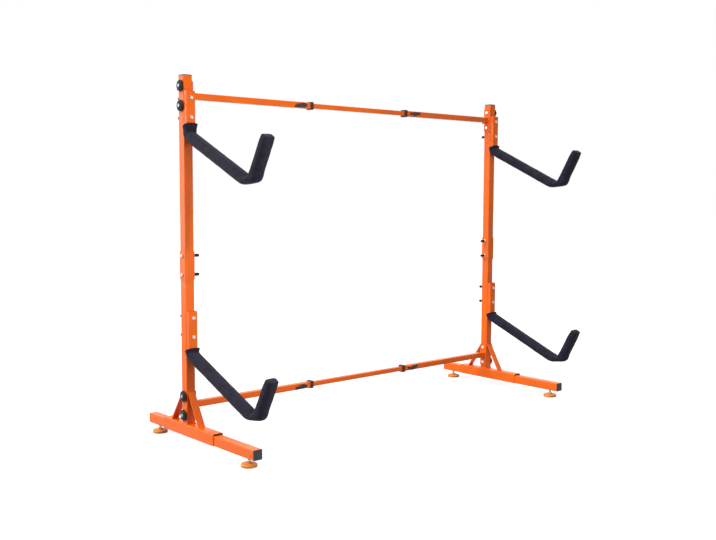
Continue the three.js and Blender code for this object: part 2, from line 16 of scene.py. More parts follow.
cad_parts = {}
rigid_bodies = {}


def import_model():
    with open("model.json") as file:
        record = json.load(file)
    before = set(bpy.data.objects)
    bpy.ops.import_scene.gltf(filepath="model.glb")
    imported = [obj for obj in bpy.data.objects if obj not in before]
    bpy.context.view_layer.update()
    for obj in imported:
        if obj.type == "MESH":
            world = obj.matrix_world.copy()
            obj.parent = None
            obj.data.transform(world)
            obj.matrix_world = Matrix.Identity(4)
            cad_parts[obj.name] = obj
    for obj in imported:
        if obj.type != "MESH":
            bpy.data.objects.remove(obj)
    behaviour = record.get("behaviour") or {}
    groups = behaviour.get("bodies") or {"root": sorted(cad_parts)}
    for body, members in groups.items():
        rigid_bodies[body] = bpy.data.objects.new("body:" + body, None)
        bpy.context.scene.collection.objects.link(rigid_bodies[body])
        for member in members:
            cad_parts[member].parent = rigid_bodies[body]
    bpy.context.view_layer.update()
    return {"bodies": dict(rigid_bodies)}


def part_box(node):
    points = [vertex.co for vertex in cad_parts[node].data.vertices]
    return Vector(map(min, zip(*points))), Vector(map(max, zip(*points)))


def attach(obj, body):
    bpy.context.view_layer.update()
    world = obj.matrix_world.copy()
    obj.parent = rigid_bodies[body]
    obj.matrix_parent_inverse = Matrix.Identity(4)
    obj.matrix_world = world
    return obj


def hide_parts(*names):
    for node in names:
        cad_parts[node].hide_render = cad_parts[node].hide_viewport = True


bl_info = {
    "name": "Kayak Stand",
    "version": (1, 0, 0),
    "blender": (4, 5, 0),
    "location": "View3D > Sidebar > Kayak Stand",
    "description": "Builds a two-tier kayak stand piece by piece around its packed frame",
    "category": "Object",
}

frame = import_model()

X, Y, Z = 0, 1, 2
SIDES = ("left", "right")
TIERS = ("upper", "lower")
TINY = 1e-6
# Room between steel or plastic pieces that go into each other
ROOM = 0.0003
finishes = {}


# Places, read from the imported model


def foot_of_post(side):
    """The point on the floor under the middle of an upright's post."""
    low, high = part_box(side + "_upper_post")
    return Vector(((low.x + high.x) / 2, (low.y + high.y) / 2, 0))


POSTS = {side: foot_of_post(side) for side in SIDES}


def post_box(node):
    """A left-hand node's corners, measured from the foot of its post."""
    low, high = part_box("left_" + node)
    return low - POSTS["left"], high - POSTS["left"]


def middle(node):
    """The middle of a node's box."""
    low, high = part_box(node)
    return (low + high) / 2


def named(pattern, *choices):
    """The node names that a pattern such as {}_inner_rail stands for, in order."""
    return [pattern.format(*chosen) for chosen in product(*choices)]


def heights(pattern):
    """The heights of two left-hand fasteners, such as upper_arm_{}_bolt."""
    return [middle(node).z for node in named("left_" + pattern, TIERS)]


def at(*place):
    """The matrix that moves a piece to a place."""
    return Matrix.Translation(place)


def turned(axis, angle):
    """The matrix that turns a piece about an axis through the origin."""
    return Matrix.Rotation(angle, 4, axis)


def on_uprights(what, matrix=at(0, 0, 0)):
    """Both places of a piece that was modelled at the foot of a post."""
    return {f"{side}_{what}": at(*POSTS[side]) @ matrix for side in SIDES}


def on_rails(what, matrix=at(0, 0, 0)):
    """All four places of a rail's piece, modelled along +X from the left-hand post."""
    places = {}
    for side in SIDES:
        inward = turned("Y", 0 if side == "left" else math.pi)
        for tier in TIERS:
            node = f"{side}_{tier}_rail_{what}"
            places[node] = at(*POSTS[side]) @ at(0, 0, middle(node).z) @ inward @ matrix
    return places


def from_outside(nodes, depth):
    """Places of fasteners that run inwards, with their seat at a depth under their outer end."""
    places = {}
    for node in nodes:
        way, outer = (1, 0) if node.startswith("left") else (-1, 1)
        seat = middle(node)
        seat.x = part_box(node)[outer].x + way * depth
        places[node] = at(*seat) @ turned("Y", way * math.pi / 2)
    return places


# Selecting and modelling


def leave_edit_mode():
    active = bpy.context.object
    if active and active.mode != "OBJECT":
        bpy.ops.object.mode_set(mode="OBJECT")


def select_only(*pieces):
    """Select these pieces and nothing else. The first one becomes active."""
    leave_edit_mode()
    bpy.ops.object.select_all(action="DESELECT")
    for piece in pieces:
        piece.select_set(True)
    if pieces:
        bpy.context.view_layer.objects.active = pieces[0]


def settle(name):
    """Name the active piece and put its place, turn and size in its mesh."""
    leave_edit_mode()
    piece = bpy.context.object
    piece.name = piece.data.name = name
    bpy.ops.object.transform_apply(location=True, rotation=True, scale=True)
    return piece


def moved(piece, matrix, name):
    """Move a piece by the matrix, in its mesh."""
    piece.matrix_world = matrix
    select_only(piece)
    return settle(name)


def copied(piece, matrix, name):
    """A copy with its own mesh, moved by the matrix."""
    select_only(piece)
    bpy.ops.object.duplicate(linked=False)
    return moved(bpy.context.object, matrix, name)


def joined(name, *parts):
    """Join parts into one piece under a new name."""
    select_only(*parts)
    bpy.ops.object.join()
    piece = bpy.context.object
    piece.name = piece.data.name = name
    return piece


def painted(piece, finish):
    """Give all of a piece one finish."""
    piece.data.materials.clear()
    piece.data.materials.append(finishes[finish])
    return piece


def pick(piece, kind, test):
    """Go into edit mode and select the vertices, edges or faces that pass the test."""
    select_only(piece)
    bpy.ops.object.mode_set(mode="EDIT")
    bpy.ops.mesh.select_mode(type=kind)
    bpy.ops.mesh.select_all(action="DESELECT")
    mesh = bmesh.from_edit_mesh(piece.data)
    for element in {"VERT": mesh.verts, "EDGE": mesh.edges, "FACE": mesh.faces}[kind]:
        if test(element):
            element.select_set(True)
    mesh.select_flush_mode()
    bmesh.update_edit_mesh(piece.data)


def everything(element):
    """Picks all there is."""
    return True


def facing(axis, sign=0):
    """Picks faces that look along an axis: either way, or the way of the sign."""
    return lambda face: abs(face.normal[axis]) > 0.9 and face.normal[axis] * sign >= 0


def running(axis, *limits):
    """Picks edges that run along an axis, inside limits such as (Z, 0.1, 0.2)."""

    def test(edge):
        a, b = (vertex.co for vertex in edge.verts)
        if abs((b - a).normalized()[axis]) < 0.99:
            return False
        centre = (a + b) / 2
        return all(low - TINY <= centre[along] <= high + TINY for along, low, high in limits)

    return test


def lying_in(place, normal):
    """Picks edges that lie in a plane."""
    place, normal = Vector(place), Vector(normal)
    return lambda edge: all(abs((vertex.co - place).dot(normal)) < 1e-5 for vertex in edge.verts)


def level(edge):
    """Picks edges whose ends are at one height."""
    return abs(edge.verts[0].co.z - edge.verts[1].co.z) < TINY


def block(name, low, high):
    """A box between two corners, to be shaped further."""
    low, high = Vector(low), Vector(high)
    select_only()
    bpy.ops.mesh.primitive_cube_add(size=1, location=(low + high) / 2, scale=high - low)
    return settle(name)


def rod(name, radius, start, end, sides=32):
    """A closed cylinder from one point to another."""
    start, end = Vector(start), Vector(end)
    select_only()
    bpy.ops.mesh.primitive_cylinder_add(
        vertices=sides,
        radius=radius,
        depth=(end - start).length,
        location=(start + end) / 2,
        rotation=(end - start).to_track_quat("Z", "Y").to_euler(),
    )
    return settle(name)


def modify(piece, kind, **settings):
    """Give a piece a modifier with these settings and apply it."""
    select_only(piece)
    modifier = piece.modifiers.new(kind.lower(), kind)
    for name, value in settings.items():
        setattr(modifier, name, value)
    bpy.ops.object.modifier_apply(modifier=modifier.name)


def round_edges(piece, test, radius, segments=4):
    pick(piece, "EDGE", test)
    bpy.ops.mesh.bevel(offset=radius, segments=segments, affect="EDGES")
    leave_edit_mode()


def soften(piece, width, segments=2, angle=50):
    """Break the sharp edges, as a file, a mould or a coat of paint does."""
    limit = math.radians(angle)
    modify(piece, "BEVEL", width=width, segments=segments, limit_method="ANGLE", angle_limit=limit)


def open_faces(piece, test):
    """Remove faces, so that a box becomes an open shell."""
    pick(piece, "FACE", test)
    bpy.ops.mesh.delete(type="FACE")
    leave_edit_mode()


def give_wall(piece, wall):
    """Thicken an open shell inwards."""
    modify(piece, "SOLIDIFY", thickness=wall, offset=-1, use_even_offset=True)


def cut(piece, *cutters):
    """Cut the cutters out of the piece."""
    for cutter in cutters:
        modify(piece, "BOOLEAN", operation="DIFFERENCE", solver="MANIFOLD", object=cutter)
        bpy.data.objects.remove(cutter)


def trim(piece, place, normal):
    """Slice the piece at a plane, drop the side that the normal points to and close the cut."""
    pick(piece, "FACE", everything)
    bpy.ops.mesh.bisect(plane_co=place, plane_no=normal, use_fill=True, clear_outer=True)
    leave_edit_mode()


def drill(piece, axis, places):
    """Drill bolt holes through a piece along X or Y at these heights."""
    hardware = bpy.context.scene.stand_hardware
    reach = Vector((0.05, 0, 0) if axis == X else (0, 0.05, 0))
    for height in places:
        centre = Vector((0, 0, height))
        radius = hardware.bolt_radius + hardware.hole_clearance
        cut(piece, rod("bore", radius, centre - reach, centre + reach, 24))


def square_tube(name, low, high, axis, corner, wall, edge):
    """A square tube with round corners and softened rims, open at both ends."""
    tube = block(name, low, high)
    open_faces(tube, facing(axis))
    round_edges(tube, running(axis), corner)
    give_wall(tube, wall)
    soften(tube, edge)
    return tube


def rounded(profile, radius, cuts=3):
    """The same profile with its corners rounded, by up to the radius."""
    points = [Vector(point) for point in profile]
    made = [points[0]]
    for before, corner, after in zip(points, points[1:], points[2:]):
        reach = min(radius, (corner - before).length * 0.45, (corner - after).length * 0.45)
        start = corner + (before - corner).normalized() * reach
        end = corner + (after - corner).normalized() * reach
        for step in range(cuts + 1):
            share = step / cuts
            made.append(start.lerp(corner, share).lerp(corner.lerp(end, share), share))
    return made + [points[-1]]


def lathe(name, profile, steps=48, rounding=0.0):
    """Spin a profile of (radius, height) about the Z axis. It starts and ends on the axis."""
    if rounding:
        profile = rounded(profile, rounding)
    select_only()
    bpy.ops.mesh.primitive_plane_add(size=1)
    bpy.ops.object.mode_set(mode="EDIT")
    bpy.ops.mesh.select_mode(type="VERT")
    bpy.ops.mesh.select_all(action="SELECT")
    bpy.ops.mesh.merge(type="CENTER")
    bpy.ops.transform.translate(value=(profile[0][0], 0, profile[0][1]))
    for here, there in zip(profile, profile[1:]):
        step = (there[0] - here[0], 0, there[1] - here[1])
        bpy.ops.mesh.extrude_region_move(TRANSFORM_OT_translate={"value": step})
    bpy.ops.mesh.select_all(action="SELECT")
    bpy.ops.mesh.spin(steps=steps, angle=math.tau, center=(0, 0, 0), axis=(0, 0, 1))
    bpy.ops.mesh.select_all(action="SELECT")
    bpy.ops.mesh.remove_doubles(threshold=TINY)
    bpy.ops.mesh.normals_make_consistent(inside=False)
    return settle(name)


def weld_bead(start, end, radius):
    """A lumpy line of weld between two points."""
    bead = rod("bead", radius, start, end, sides=10)
    line = Vector(end) - Vector(start)
    run = line.normalized()

    def along(edge):
        return abs((edge.verts[1].co - edge.verts[0].co).normalized().dot(run)) > 0.99

    pick(bead, "EDGE", along)
    bpy.ops.mesh.subdivide(number_cuts=max(4, int(line.length / (radius * 0.5))))
    lumps = bpy.data.textures.get("weld lumps") or bpy.data.textures.new("weld lumps", "CLOUDS")
    lumps.noise_scale = radius * 1.1
    modify(bead, "DISPLACE", texture=lumps, strength=radius * 0.7)
    return bead


def weld_ring(half_width, half_depth, centre, radius):
    """Four beads round the foot of a square member."""
    corners = [(-1, -1), (1, -1), (1, 1), (-1, 1)]
    points = [Vector((x * half_width, y * half_depth, 0)) + Vector(centre) for x, y in corners]
    beads = [weld_bead(a, b, radius) for a, b in zip(points, points[1:] + points[:1])]
    return joined("ring", *beads)


def fit(piece, node, angle=38):
    """Smooth a piece and let it stand for its node, which moves by itself or with its upright."""
    select_only(piece)
    bpy.ops.object.shade_smooth_by_angle(angle=math.radians(angle))
    modify(piece, "WEIGHTED_NORMAL", keep_sharp=True)
    body = node if node in frame["bodies"] else node.split("_")[0] + "_stand"
    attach(piece, body)
    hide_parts(node)


def fit_copies(piece, places):
    """Put a copy of the piece at the place of each node and drop the model."""
    for node, matrix in places.items():
        fit(copied(piece, matrix, node + "_finished"), node)
    bpy.data.objects.remove(piece)


# Finishes


class Finish:
    """A material in the making. Its patterns lie on Object coordinates."""

    def __init__(self, name):
        self.material = bpy.data.materials.new(name)
        self.material.use_nodes = True
        self.tree = self.material.node_tree
        self.shader = self.tree.nodes["Principled BSDF"]
        self.place = self.tree.nodes.new("ShaderNodeTexCoord").outputs["Object"]

    def set(self, node, inputs):
        """Set a node's inputs to values, or join them to other nodes' outputs."""
        for socket, value in inputs.items():
            if isinstance(value, bpy.types.NodeSocket):
                self.tree.links.new(value, node.inputs[socket])
            else:
                node.inputs[socket].default_value = value

    def add(self, kind, output, inputs, **settings):
        """Add a node and return one of its outputs."""
        node = self.tree.nodes.new("ShaderNode" + kind)
        for name, value in settings.items():
            setattr(node, name, value)
        self.set(node, inputs)
        return node.outputs[output]

    def noise(self, scale, detail=2.0):
        inputs = {"Vector": self.place, "Scale": scale, "Detail": detail}
        return self.add("TexNoise", "Fac", inputs)

    def tones(self, pattern, colour, dark, light):
        """Blend from a darker to a lighter share of a colour."""
        ramp = self.tree.nodes.new("ShaderNodeValToRGB")
        self.set(ramp, {"Fac": pattern})
        for stop, place, share in zip(ramp.color_ramp.elements, (0.35, 0.65), (dark, light)):
            stop.position = place
            stop.color = (*(min(1.0, channel * share) for channel in colour), 1)
        return ramp.outputs["Color"]

    def spread(self, pattern, low, high):
        """Map a noise onto a narrow range, such as a roughness."""
        inputs = {"Value": pattern, "From Min": 0.3, "From Max": 0.7, "To Min": low, "To Max": high}
        return self.add("MapRange", "Result", inputs)

    def bump(self, height, strength, distance=0.0003):
        inputs = {"Height": height, "Strength": strength, "Distance": distance}
        return self.add("Bump", "Normal", inputs)

    def made(self, inputs):
        """Finish the material with the shader's own inputs."""
        self.set(self.shader, inputs)
        return self.material


def powder_coat(looks):
    """Glossy powder coat with its fine orange peel."""
    finish = Finish("orange powder coat")
    return finish.made(
        {
            "Base Color": finish.tones(finish.noise(7.0), looks.paint, 0.93, 1.04),
            "Roughness": finish.spread(finish.noise(25.0), 0.22, 0.28),
            "Normal": finish.bump(finish.noise(420.0, 1.0), 0.04),
            "Specular IOR Level": looks.paint_gloss,
        }
    )


def zinc_plate(name, plating):
    """Zinc plating with the faint spangle and tool marks of fasteners."""
    finish = Finish(name)
    spangle = finish.noise(260.0, 3.0)
    return finish.made(
        {
            "Base Color": finish.tones(spangle, plating, 0.82, 1.0),
            "Roughness": finish.spread(finish.noise(900.0), 0.22, 0.4),
            "Normal": finish.bump(spangle, 0.12),
            "Metallic": 0.85,
        }
    )


def moulded(name, colour, roughness=0.5, gloss=0.3):
    """Moulded plastic with a fine spark-eroded grain."""
    finish = Finish(name)
    return finish.made(
        {
            "Base Color": finish.tones(finish.noise(30.0), colour, 0.85, 1.12),
            "Roughness": finish.spread(finish.noise(120.0), roughness - 0.06, roughness + 0.06),
            "Normal": finish.bump(finish.noise(900.0, 1.0), 0.25),
            "Specular IOR Level": gloss,
        }
    )


def closed_cell_foam(looks):
    """Charcoal foam: small cells, a soft sheen and slight blotches."""
    finish = Finish("charcoal foam")
    cells = finish.add("TexVoronoi", "Distance", {"Vector": finish.place, "Scale": 700.0})
    skin = finish.noise(160.0, 4.0)
    height = finish.add("Math", "Value", {0: cells, 1: skin}, operation="ADD")
    return finish.made(
        {
            "Base Color": finish.tones(finish.noise(38.0, 4.0), looks.foam, 0.4, 1.7),
            "Roughness": finish.spread(finish.noise(300.0), 0.72, 0.9),
            "Normal": finish.bump(height, 0.45, 0.0008),
            "Sheen Weight": looks.foam_sheen,
            "Sheen Roughness": 0.45,
            "Sheen Tint": (0.8, 0.75, 1.0, 1),
            "Specular IOR Level": 0.2,
            "Specular Tint": (0.85, 0.8, 1.0, 1),
        }
    )


def pale_floor(looks):
    """A matt floor with a glow of its own."""
    finish = Finish("pale floor")
    return finish.made(
        {
            "Base Color": finish.tones(finish.noise(1.5), looks.floor, 0.99, 1.0),
            "Roughness": 0.8,
            "Specular IOR Level": 0.2,
            "Emission Color": (1, 1, 1, 1),
            "Emission Strength": looks.floor_glow,
        }
    )


# Sizes and colours


def length(name, description, default, high=0.2):
    return FloatProperty(
        name=name, description=description, default=default, min=0.0, max=high, unit="LENGTH"
    )


def angle(name, description, degrees):
    return FloatProperty(
        name=name, description=description, default=math.radians(degrees), subtype="ANGLE"
    )


def number(name, description, default, low=0.0, high=1.0):
    return FloatProperty(name=name, description=description, default=default, min=low, max=high)


def count(name, description, default, low, high):
    return IntProperty(name=name, description=description, default=default, min=low, max=high)


def watts(name, description, default):
    return FloatProperty(name=name, description=description, default=default, unit="POWER")


def colour(name, description, *seen):
    """A colour property. The default is given as it looks on screen, from 0 to 255."""
    linear = [((c / 255 + 0.055) / 1.055) ** 2.4 if c > 10 else c / 255 / 12.92 for c in seen]
    return FloatVectorProperty(
        name=name, description=description, default=linear, size=3, min=0, max=1, subtype="COLOR"
    )


class StandSteel(bpy.types.PropertyGroup):
    """Sizes of tubes, plates and welds."""

    post_wall: length("Post wall", "Wall of posts and foot beams", 0.0015)
    post_corner: length("Post corner", "Corner radius of posts and foot beams", 0.0035)
    saddle_wall: length("Saddle wall", "Thickness of the folded saddle", 0.003)
    saddle_top_wall: length("Saddle top", "Thickness of the saddle's top", 0.0012)
    saddle_gap: length("Saddle gap", "Extra height of the gap between saddle and beam", 0.004)
    saddle_corner: length("Saddle corner", "Radius of the saddle's folds", 0.005)
    # Thin black strips in both ends of the gap under the saddle's top stand for the shade in that
    # gap: painted shade, not parts of the stand.
    shim_length: length("Shim", "Length of the black shims in that gap", 0.003)
    shim_setback: length("Shim setback", "Saddle's end to a shim", 0.0012)
    coupler_wall: length("Coupler wall", "Wall of the sleeve on the post", 0.0024)
    coupler_corner: length("Coupler corner", "Corner radius of the sleeve", 0.005)
    rail_wall: length("Rail wall", "Wall of the outer rail tubes", 0.0015)
    rail_corner: length("Rail corner", "Corner radius of the outer rail tubes", 0.0028)
    inner_rail_wall: length("Inner rail wall", "Wall of the inner rails", 0.0012)
    inner_rail_corner: length("Inner rail corner", "Corner radius of the inner rails", 0.0022)
    flange_width: length("Flange width", "Width of the rail's end plate", 0.038)
    flange_thickness: length("Flange thickness", "Thickness of the rail's end plate", 0.003)
    flange_corner: length("Flange corner", "Corner radius of the rail's end plate", 0.006)
    brace_width: length("Brace width", "Width of the flat braces", 0.03)
    brace_thickness: length("Brace thickness", "Thickness of the flat braces", 0.005)
    brace_rise: length("Brace rise", "Height of a brace's top over the saddle", 0.13)
    front_brace_reach: length("Front brace", "Post to the front brace's foot", 0.076)
    rear_brace_reach: length("Rear brace", "Post to the rear brace's foot", 0.088)
    bracket_length: length("Bracket length", "Length of the arm's bracket tube", 0.157)
    bracket_corner: length("Bracket corner", "Corner radius of the bracket", 0.003)
    arm_wall: length("Arm wall", "Wall of the bracket and the arm", 0.0015)
    arm_width: length("Arm width", "Width of the hooked tube", 0.027)
    arm_depth: length("Arm depth", "Depth of the hooked tube", 0.02)
    weld: length("Weld", "Radius of a weld bead", 0.0022)
    edge: length("Edge", "How far sharp edges are broken", 0.0005)


class StandArms(bpy.types.PropertyGroup):
    """The line of the arms, from the bracket's top end."""

    root_drop: length("Root drop", "Top end down to the bend under the bracket", 0.1675)
    root_radius: length("Root radius", "Radius of that bend in the tube", 0.014)
    upper_reach: length("Upper reach", "Post centre to the upper arm's hook", 0.433, 1)
    upper_drop: length("Upper drop", "Top end down to the upper arm's hook", 0.351, 1)
    upper_length: length("Upper hook", "Length of the upper arm's hook", 0.182, 1)
    upper_rise: angle("Upper rise", "Slope of the upper hook", 61.2)
    lower_reach: length("Lower reach", "Post centre to the lower arm's hook", 0.457, 1)
    lower_drop: length("Lower drop", "Top end down to the lower arm's hook", 0.347, 1)
    lower_length: length("Lower hook", "Length of the lower arm's hook", 0.174, 1)
    lower_rise: angle("Lower rise", "Slope of the lower hook", 62)
    hook_radius: length("Hook radius", "Radius of the hook's bend", 0.06)


class StandFoam(bpy.types.PropertyGroup):
    """Sizes of the foam sleeves."""

    width: length("Width", "Width of the sleeve", 0.05)
    depth: length("Depth", "Depth of the sleeve", 0.0418)
    squareness: number("Squareness", "2 is an ellipse, more is boxier", 2.5, 2, 12)
    root_radius: length("Root radius", "Radius of the foam's line under the bracket", 0.0225)
    tip: length("Tip", "Foam past the end of the tube", 0.008)
    tip_rounding: length("Tip rounding", "Rounding of the closed end", 0.0045)
    rim_rounding: length("Rim rounding", "Rounding of the open rim", 0.0016)
    tip_squareness: number("Tip squareness", "The same for the closed end", 5, 2, 12)
    tip_flatness: number("Tip flatness", "Share of the depth lost at the closed end", 0.36)
    tip_narrowing: number("Tip narrowing", "Share of the width lost at the closed end", 0.08)
    square_length: length("Square length", "Foam over which the end turns square", 0.04)
    squeeze: length("Squeeze", "Depth lost where the foam is stretched", 0.0065)
    bulge: length("Bulge", "Height of the bulge above the stretched place", 0.007)
    crease: length("Crease", "Depth of the notch inside the hook", 0.0092)
    crease_swell: length("Crease swell", "Height of the swelling beside the notch", 0.0011)
    side_swell: length("Side swell", "Swelling sideways at the notch", 0.0015)
    flare: length("Flare", "How far the open rim stands out at each side", 0.0052)
    flare_length: length("Flare length", "Length of foam that flares", 0.024)
    lump_height: length("Lump height", "Unevenness of the skin", 0.0016)
    rim_tilt: angle("Rim tilt", "Slope of the cut rim", 22)
    left_upper_rim: length("Left upper rim", "Bracket's top end to the foam's rim", 0.127)
    left_lower_rim: length("Left lower rim", "Bracket's top end to the foam's rim", 0.146)
    right_upper_rim: length("Right upper rim", "Bracket's top end to the foam's rim", 0.150)
    right_lower_rim: length("Right lower rim", "Bracket's top end to the foam's rim", 0.154)
    arm_room: length("Arm room", "Room between the foam and the arm", 0.0004)
    sides: count("Sides", "Points round the sleeve", 48, 16, 96)
    station: length("Station", "Spacing of the rings along the sleeve", 0.005)


class StandHardware(bpy.types.PropertyGroup):
    """Sizes of bolts, knobs and plugs."""

    bolt_radius: length("Bolt radius", "Radius of the bolts' shanks", 0.004)
    thread_pitch: length("Thread pitch", "Distance from thread to thread", 0.00125)
    hex_radius: length("Hexagon", "Centre to corner of heads and nuts", 0.0075)
    head_thickness: length("Head", "Thickness of a bolt's head", 0.0055)
    nut_thickness: length("Nut", "Thickness of a nut", 0.0055)
    bare_thread: length("Bare thread", "Thread between the nut and the cap", 0.002)
    cap_length: length("Cap length", "Length of the cap on a bolt's end", 0.023)
    cap_radius: length("Cap radius", "Radius of the cap on a bolt's end", 0.0065)
    hole_clearance: length("Clearance", "Room round a bolt in its hole", 0.0003)
    knob_radius: length("Knob radius", "Radius of a star knob over its lobes", 0.022)
    knob_lobe_depth: length("Lobe depth", "Depth of the dips between the lobes", 0.0016)
    knob_lobes: count("Lobes", "Number of lobes on a knob", 8, 3, 16)
    knob_thickness: length("Knob thickness", "Thickness of a knob", 0.009)
    knob_grip: length("Knob grip", "Thickness of a knob's lobed grip", 0.0046)
    knob_edge: length("Knob edge", "Rounding of the grip", 0.0019)
    knob_stand_off: length("Stand-off", "Height of a knob's back over the post", 0.0025)
    knob_hub_radius: length("Hub radius", "Radius of a knob's hub", 0.01)
    button_radius: length("Button radius", "Radius of the bright centre", 0.0065)
    button_rise: length("Button rise", "How far the bright centre stands proud", 0.001)
    plug_flange: length("Plug flange", "Thickness of the foot plugs", 0.0025)
    cap_flange: length("Cap flange", "Thickness of the post caps", 0.003)


class StandFeet(bpy.types.PropertyGroup):
    """Sizes of the levelling feet: a grooved disc with a shallow dish and a hub."""

    pad_radius: length("Pad radius", "Radius of the foot's disc", 0.03)
    pad_edge: length("Pad edge", "Height of the disc's rim", 0.009)
    groove: length("Groove", "Depth of the groove round the rim", 0.0009)
    dish_height: length("Dish height", "Height over the floor where the dish meets the hub", 0.014)
    hub_radius: length("Hub radius", "Radius of the hub round the stud", 0.009)
    hub_height: length("Hub height", "Height of the hub over the floor", 0.019)
    stud_radius: length("Stud radius", "Radius of the threaded stud", 0.005)
    bush_radius: length("Bush radius", "Radius of the threaded bush in the beam", 0.009)
    bush_height: length("Bush height", "Beam's underside to the bush's top", 0.0115)


class StandRails(bpy.types.PropertyGroup):
    """Sizes of the rails, collars and cam levers."""

    outer_size: length("Outer size", "Size of the outer rail tubes", 0.025)
    inner_size: length("Inner size", "Size of the inner rails", 0.02)
    pin_setback: length("Pin setback", "Collar's mouth to the lever's pin", 0.044)
    pin_stand_off: length("Pin stand-off", "Rail's face to the lever's pin", 0.006)
    pin_radius: length("Pin radius", "Radius of the lever's pin", 0.002)
    window_length: length("Window", "Length of the slot for the cam", 0.0156)
    ear_half_length: length("Ear half length", "Half the length of an ear", 0.0072)
    ear_thickness: length("Ear thickness", "Thickness of the lever's ears", 0.0025)
    cam_offset: length("Cam offset", "Centre of the cam from the pin", 0.001)
    cam_radius: length("Cam radius", "Radius of the cam", 0.0065)
    cam_height: length("Cam height", "Height of the cam between its ears", 0.0126)
    lever_length: length("Lever length", "Pin to the lever's tip", 0.052)
    lever_height: length("Lever height", "Height of the lever's grip", 0.022)
    root_thickness: length("Lever root", "Thickness of the grip near the pin", 0.0082)
    tip_thickness: length("Lever tip", "Thickness of the grip at its tip", 0.0034)
    grip_slant: length("Grip slant", "How far the grip's top edge falls towards its tip", 0.0115)
    face_gap: length("Face gap", "Room between the closed grip and the rail", 0.002)
    collar_lip: length("Collar lip", "Length of the collar's narrow mouth", 0.003)
    collar_corner: length("Collar corner", "Corner radius of the collars", 0.0042)


class StandLooks(bpy.types.PropertyGroup):
    """Colours, gloss and light."""

    paint: colour("Paint", "Powder coat", 232, 99, 11)
    paint_gloss: number("Paint gloss", "Gloss of the paint", 0.2)
    zinc: colour("Zinc", "Plating of bolts and nuts", 222, 222, 216)
    button: colour("Button", "Bright centre of the knobs", 150, 156, 168)
    # This black also colours the strips in the saddle's gap, which are painted shade.
    black_plastic: colour("Black plastic", "Knobs and bolt caps", 15, 15, 18)
    collar_plastic: colour("Collar plastic", "Collars of the rails", 40, 25, 18)
    lever_plastic: colour("Lever plastic", "Cam levers", 40, 33, 38)
    grey_plastic: colour("Grey plastic", "Foot plugs", 40, 43, 54)
    cap_plastic: colour("Cap plastic", "Caps of the posts", 66, 44, 34)
    amber_plastic: colour("Amber plastic", "Levelling feet", 204, 124, 52)
    foam: colour("Foam", "Foam sleeves", 18, 16, 26)
    foam_sheen: number("Foam sheen", "Soft sheen on the foam", 0.05)
    floor: colour("Floor", "Floor", 140, 140, 140)
    floor_glow: number("Floor glow", "Brightness of the lit floor", 0.85, high=5)
    backdrop: number("Backdrop", "Brightness of the white backdrop", 1, high=5)
    side_power: watts("Side light", "Large soft light at the left", 45)
    front_power: watts("Front light", "Soft light before the near upright", 12)
    high_power: watts("High light", "Small light high in front", 27)
    sun: number("Overhead light", "Strength of the soft light from above", 3.6, high=20)
    room: number("Room", "Strength of the light from all over the ceiling", 0.7, high=20)
    bounce: number("Bounce", "Strength of the light from the floor", 0.6, high=20)


class StandCamera(bpy.types.PropertyGroup):
    """Where the picture is taken from."""

    place: FloatVectorProperty(
        name="Place",
        description="Place of the camera",
        default=(-2.73563, -2.93450, 0.97999),
        subtype="TRANSLATION",
        unit="LENGTH",
    )
    turn: FloatVectorProperty(
        name="Turn",
        description="Turn of the camera",
        default=[math.radians(degrees) for degrees in (85.10358, -0.26814, -41.58042)],
        subtype="EULER",
    )
    lens: number("Lens", "Focal length in millimetres", 46.799, 1, 500)


class STAND_OT_finishes(bpy.types.Operator):
    """Paint, plating, plastics, foam and the floor's finish."""

    bl_idname = "stand.finishes"
    bl_label = "Finishes"

    def execute(self, context):
        looks = context.scene.stand_looks
        finishes["paint"] = powder_coat(looks)
        finishes["zinc"] = zinc_plate("zinc plate", looks.zinc)
        finishes["button"] = zinc_plate("knob centre", looks.button)
        finishes["black"] = moulded("black plastic", looks.black_plastic, gloss=0.15)
        for name in ("grey", "collar", "lever", "cap"):
            finishes[name] = moulded(name + " plastic", getattr(looks, name + "_plastic"))
        finishes["amber"] = moulded("amber plastic", looks.amber_plastic, roughness=0.4)
        finishes["foam"] = closed_cell_foam(looks)
        finishes["floor"] = pale_floor(looks)
        return {"FINISHED"}


# Feet


class STAND_OT_foot_beams(bpy.types.Operator):
    """Square foot beams, drilled for the levelling studs."""

    bl_idname = "stand.foot_beams"
    bl_label = "Foot Beams"

    def execute(self, context):
        steel, feet = context.scene.stand_steel, context.scene.stand_feet
        hole = feet.stud_radius + context.scene.stand_hardware.hole_clearance
        low, high = post_box("foot_beam")
        beam = square_tube("beam", low, high, Y, steel.post_corner, steel.post_wall, steel.edge)
        for end in ("front", "rear"):
            foot_low, foot_high = post_box(end + "_levelling_foot")
            x, y, _ = (foot_low + foot_high) / 2
            below = (x, y, low.z - 0.005)
            cut(beam, rod("bore", hole, below, (x, y, low.z + 0.01)))
            seat, top = (x, y, low.z + steel.post_wall), (x, y, low.z + feet.bush_height)
            bush = rod("bush", feet.bush_radius, seat, top)
            cut(bush, rod("bore", hole, below, (x, y, low.z + 0.02)))
            beam = joined("beam", beam, bush)
        fit_copies(painted(beam, "paint"), on_uprights("foot_beam"))
        return {"FINISHED"}


def square_plug(size, flange, insert, finish):
    """A square plug: its flange lies below zero on Y, and its hollow insert above."""
    steel = bpy.context.scene.stand_steel
    half = size / 2
    inner = half - steel.post_wall - ROOM
    cover = block("cover", (-half, -flange, -half), (half, 0, half))
    round_edges(cover, running(Y), steel.post_corner)
    round_edges(cover, lying_in((0, -flange, 0), (0, 1, 0)), flange * 0.4, 3)
    stem = block("stem", (-inner, -flange / 2, -inner), (inner, insert, inner))
    round_edges(stem, running(Y), steel.post_corner - steel.post_wall)
    pick(stem, "FACE", facing(Y, 1))
    bpy.ops.mesh.inset(thickness=steel.post_wall)
    bpy.ops.mesh.extrude_region_move(TRANSFORM_OT_translate={"value": (0, -insert * 0.9, 0)})
    return painted(joined("plug", cover, stem), finish)


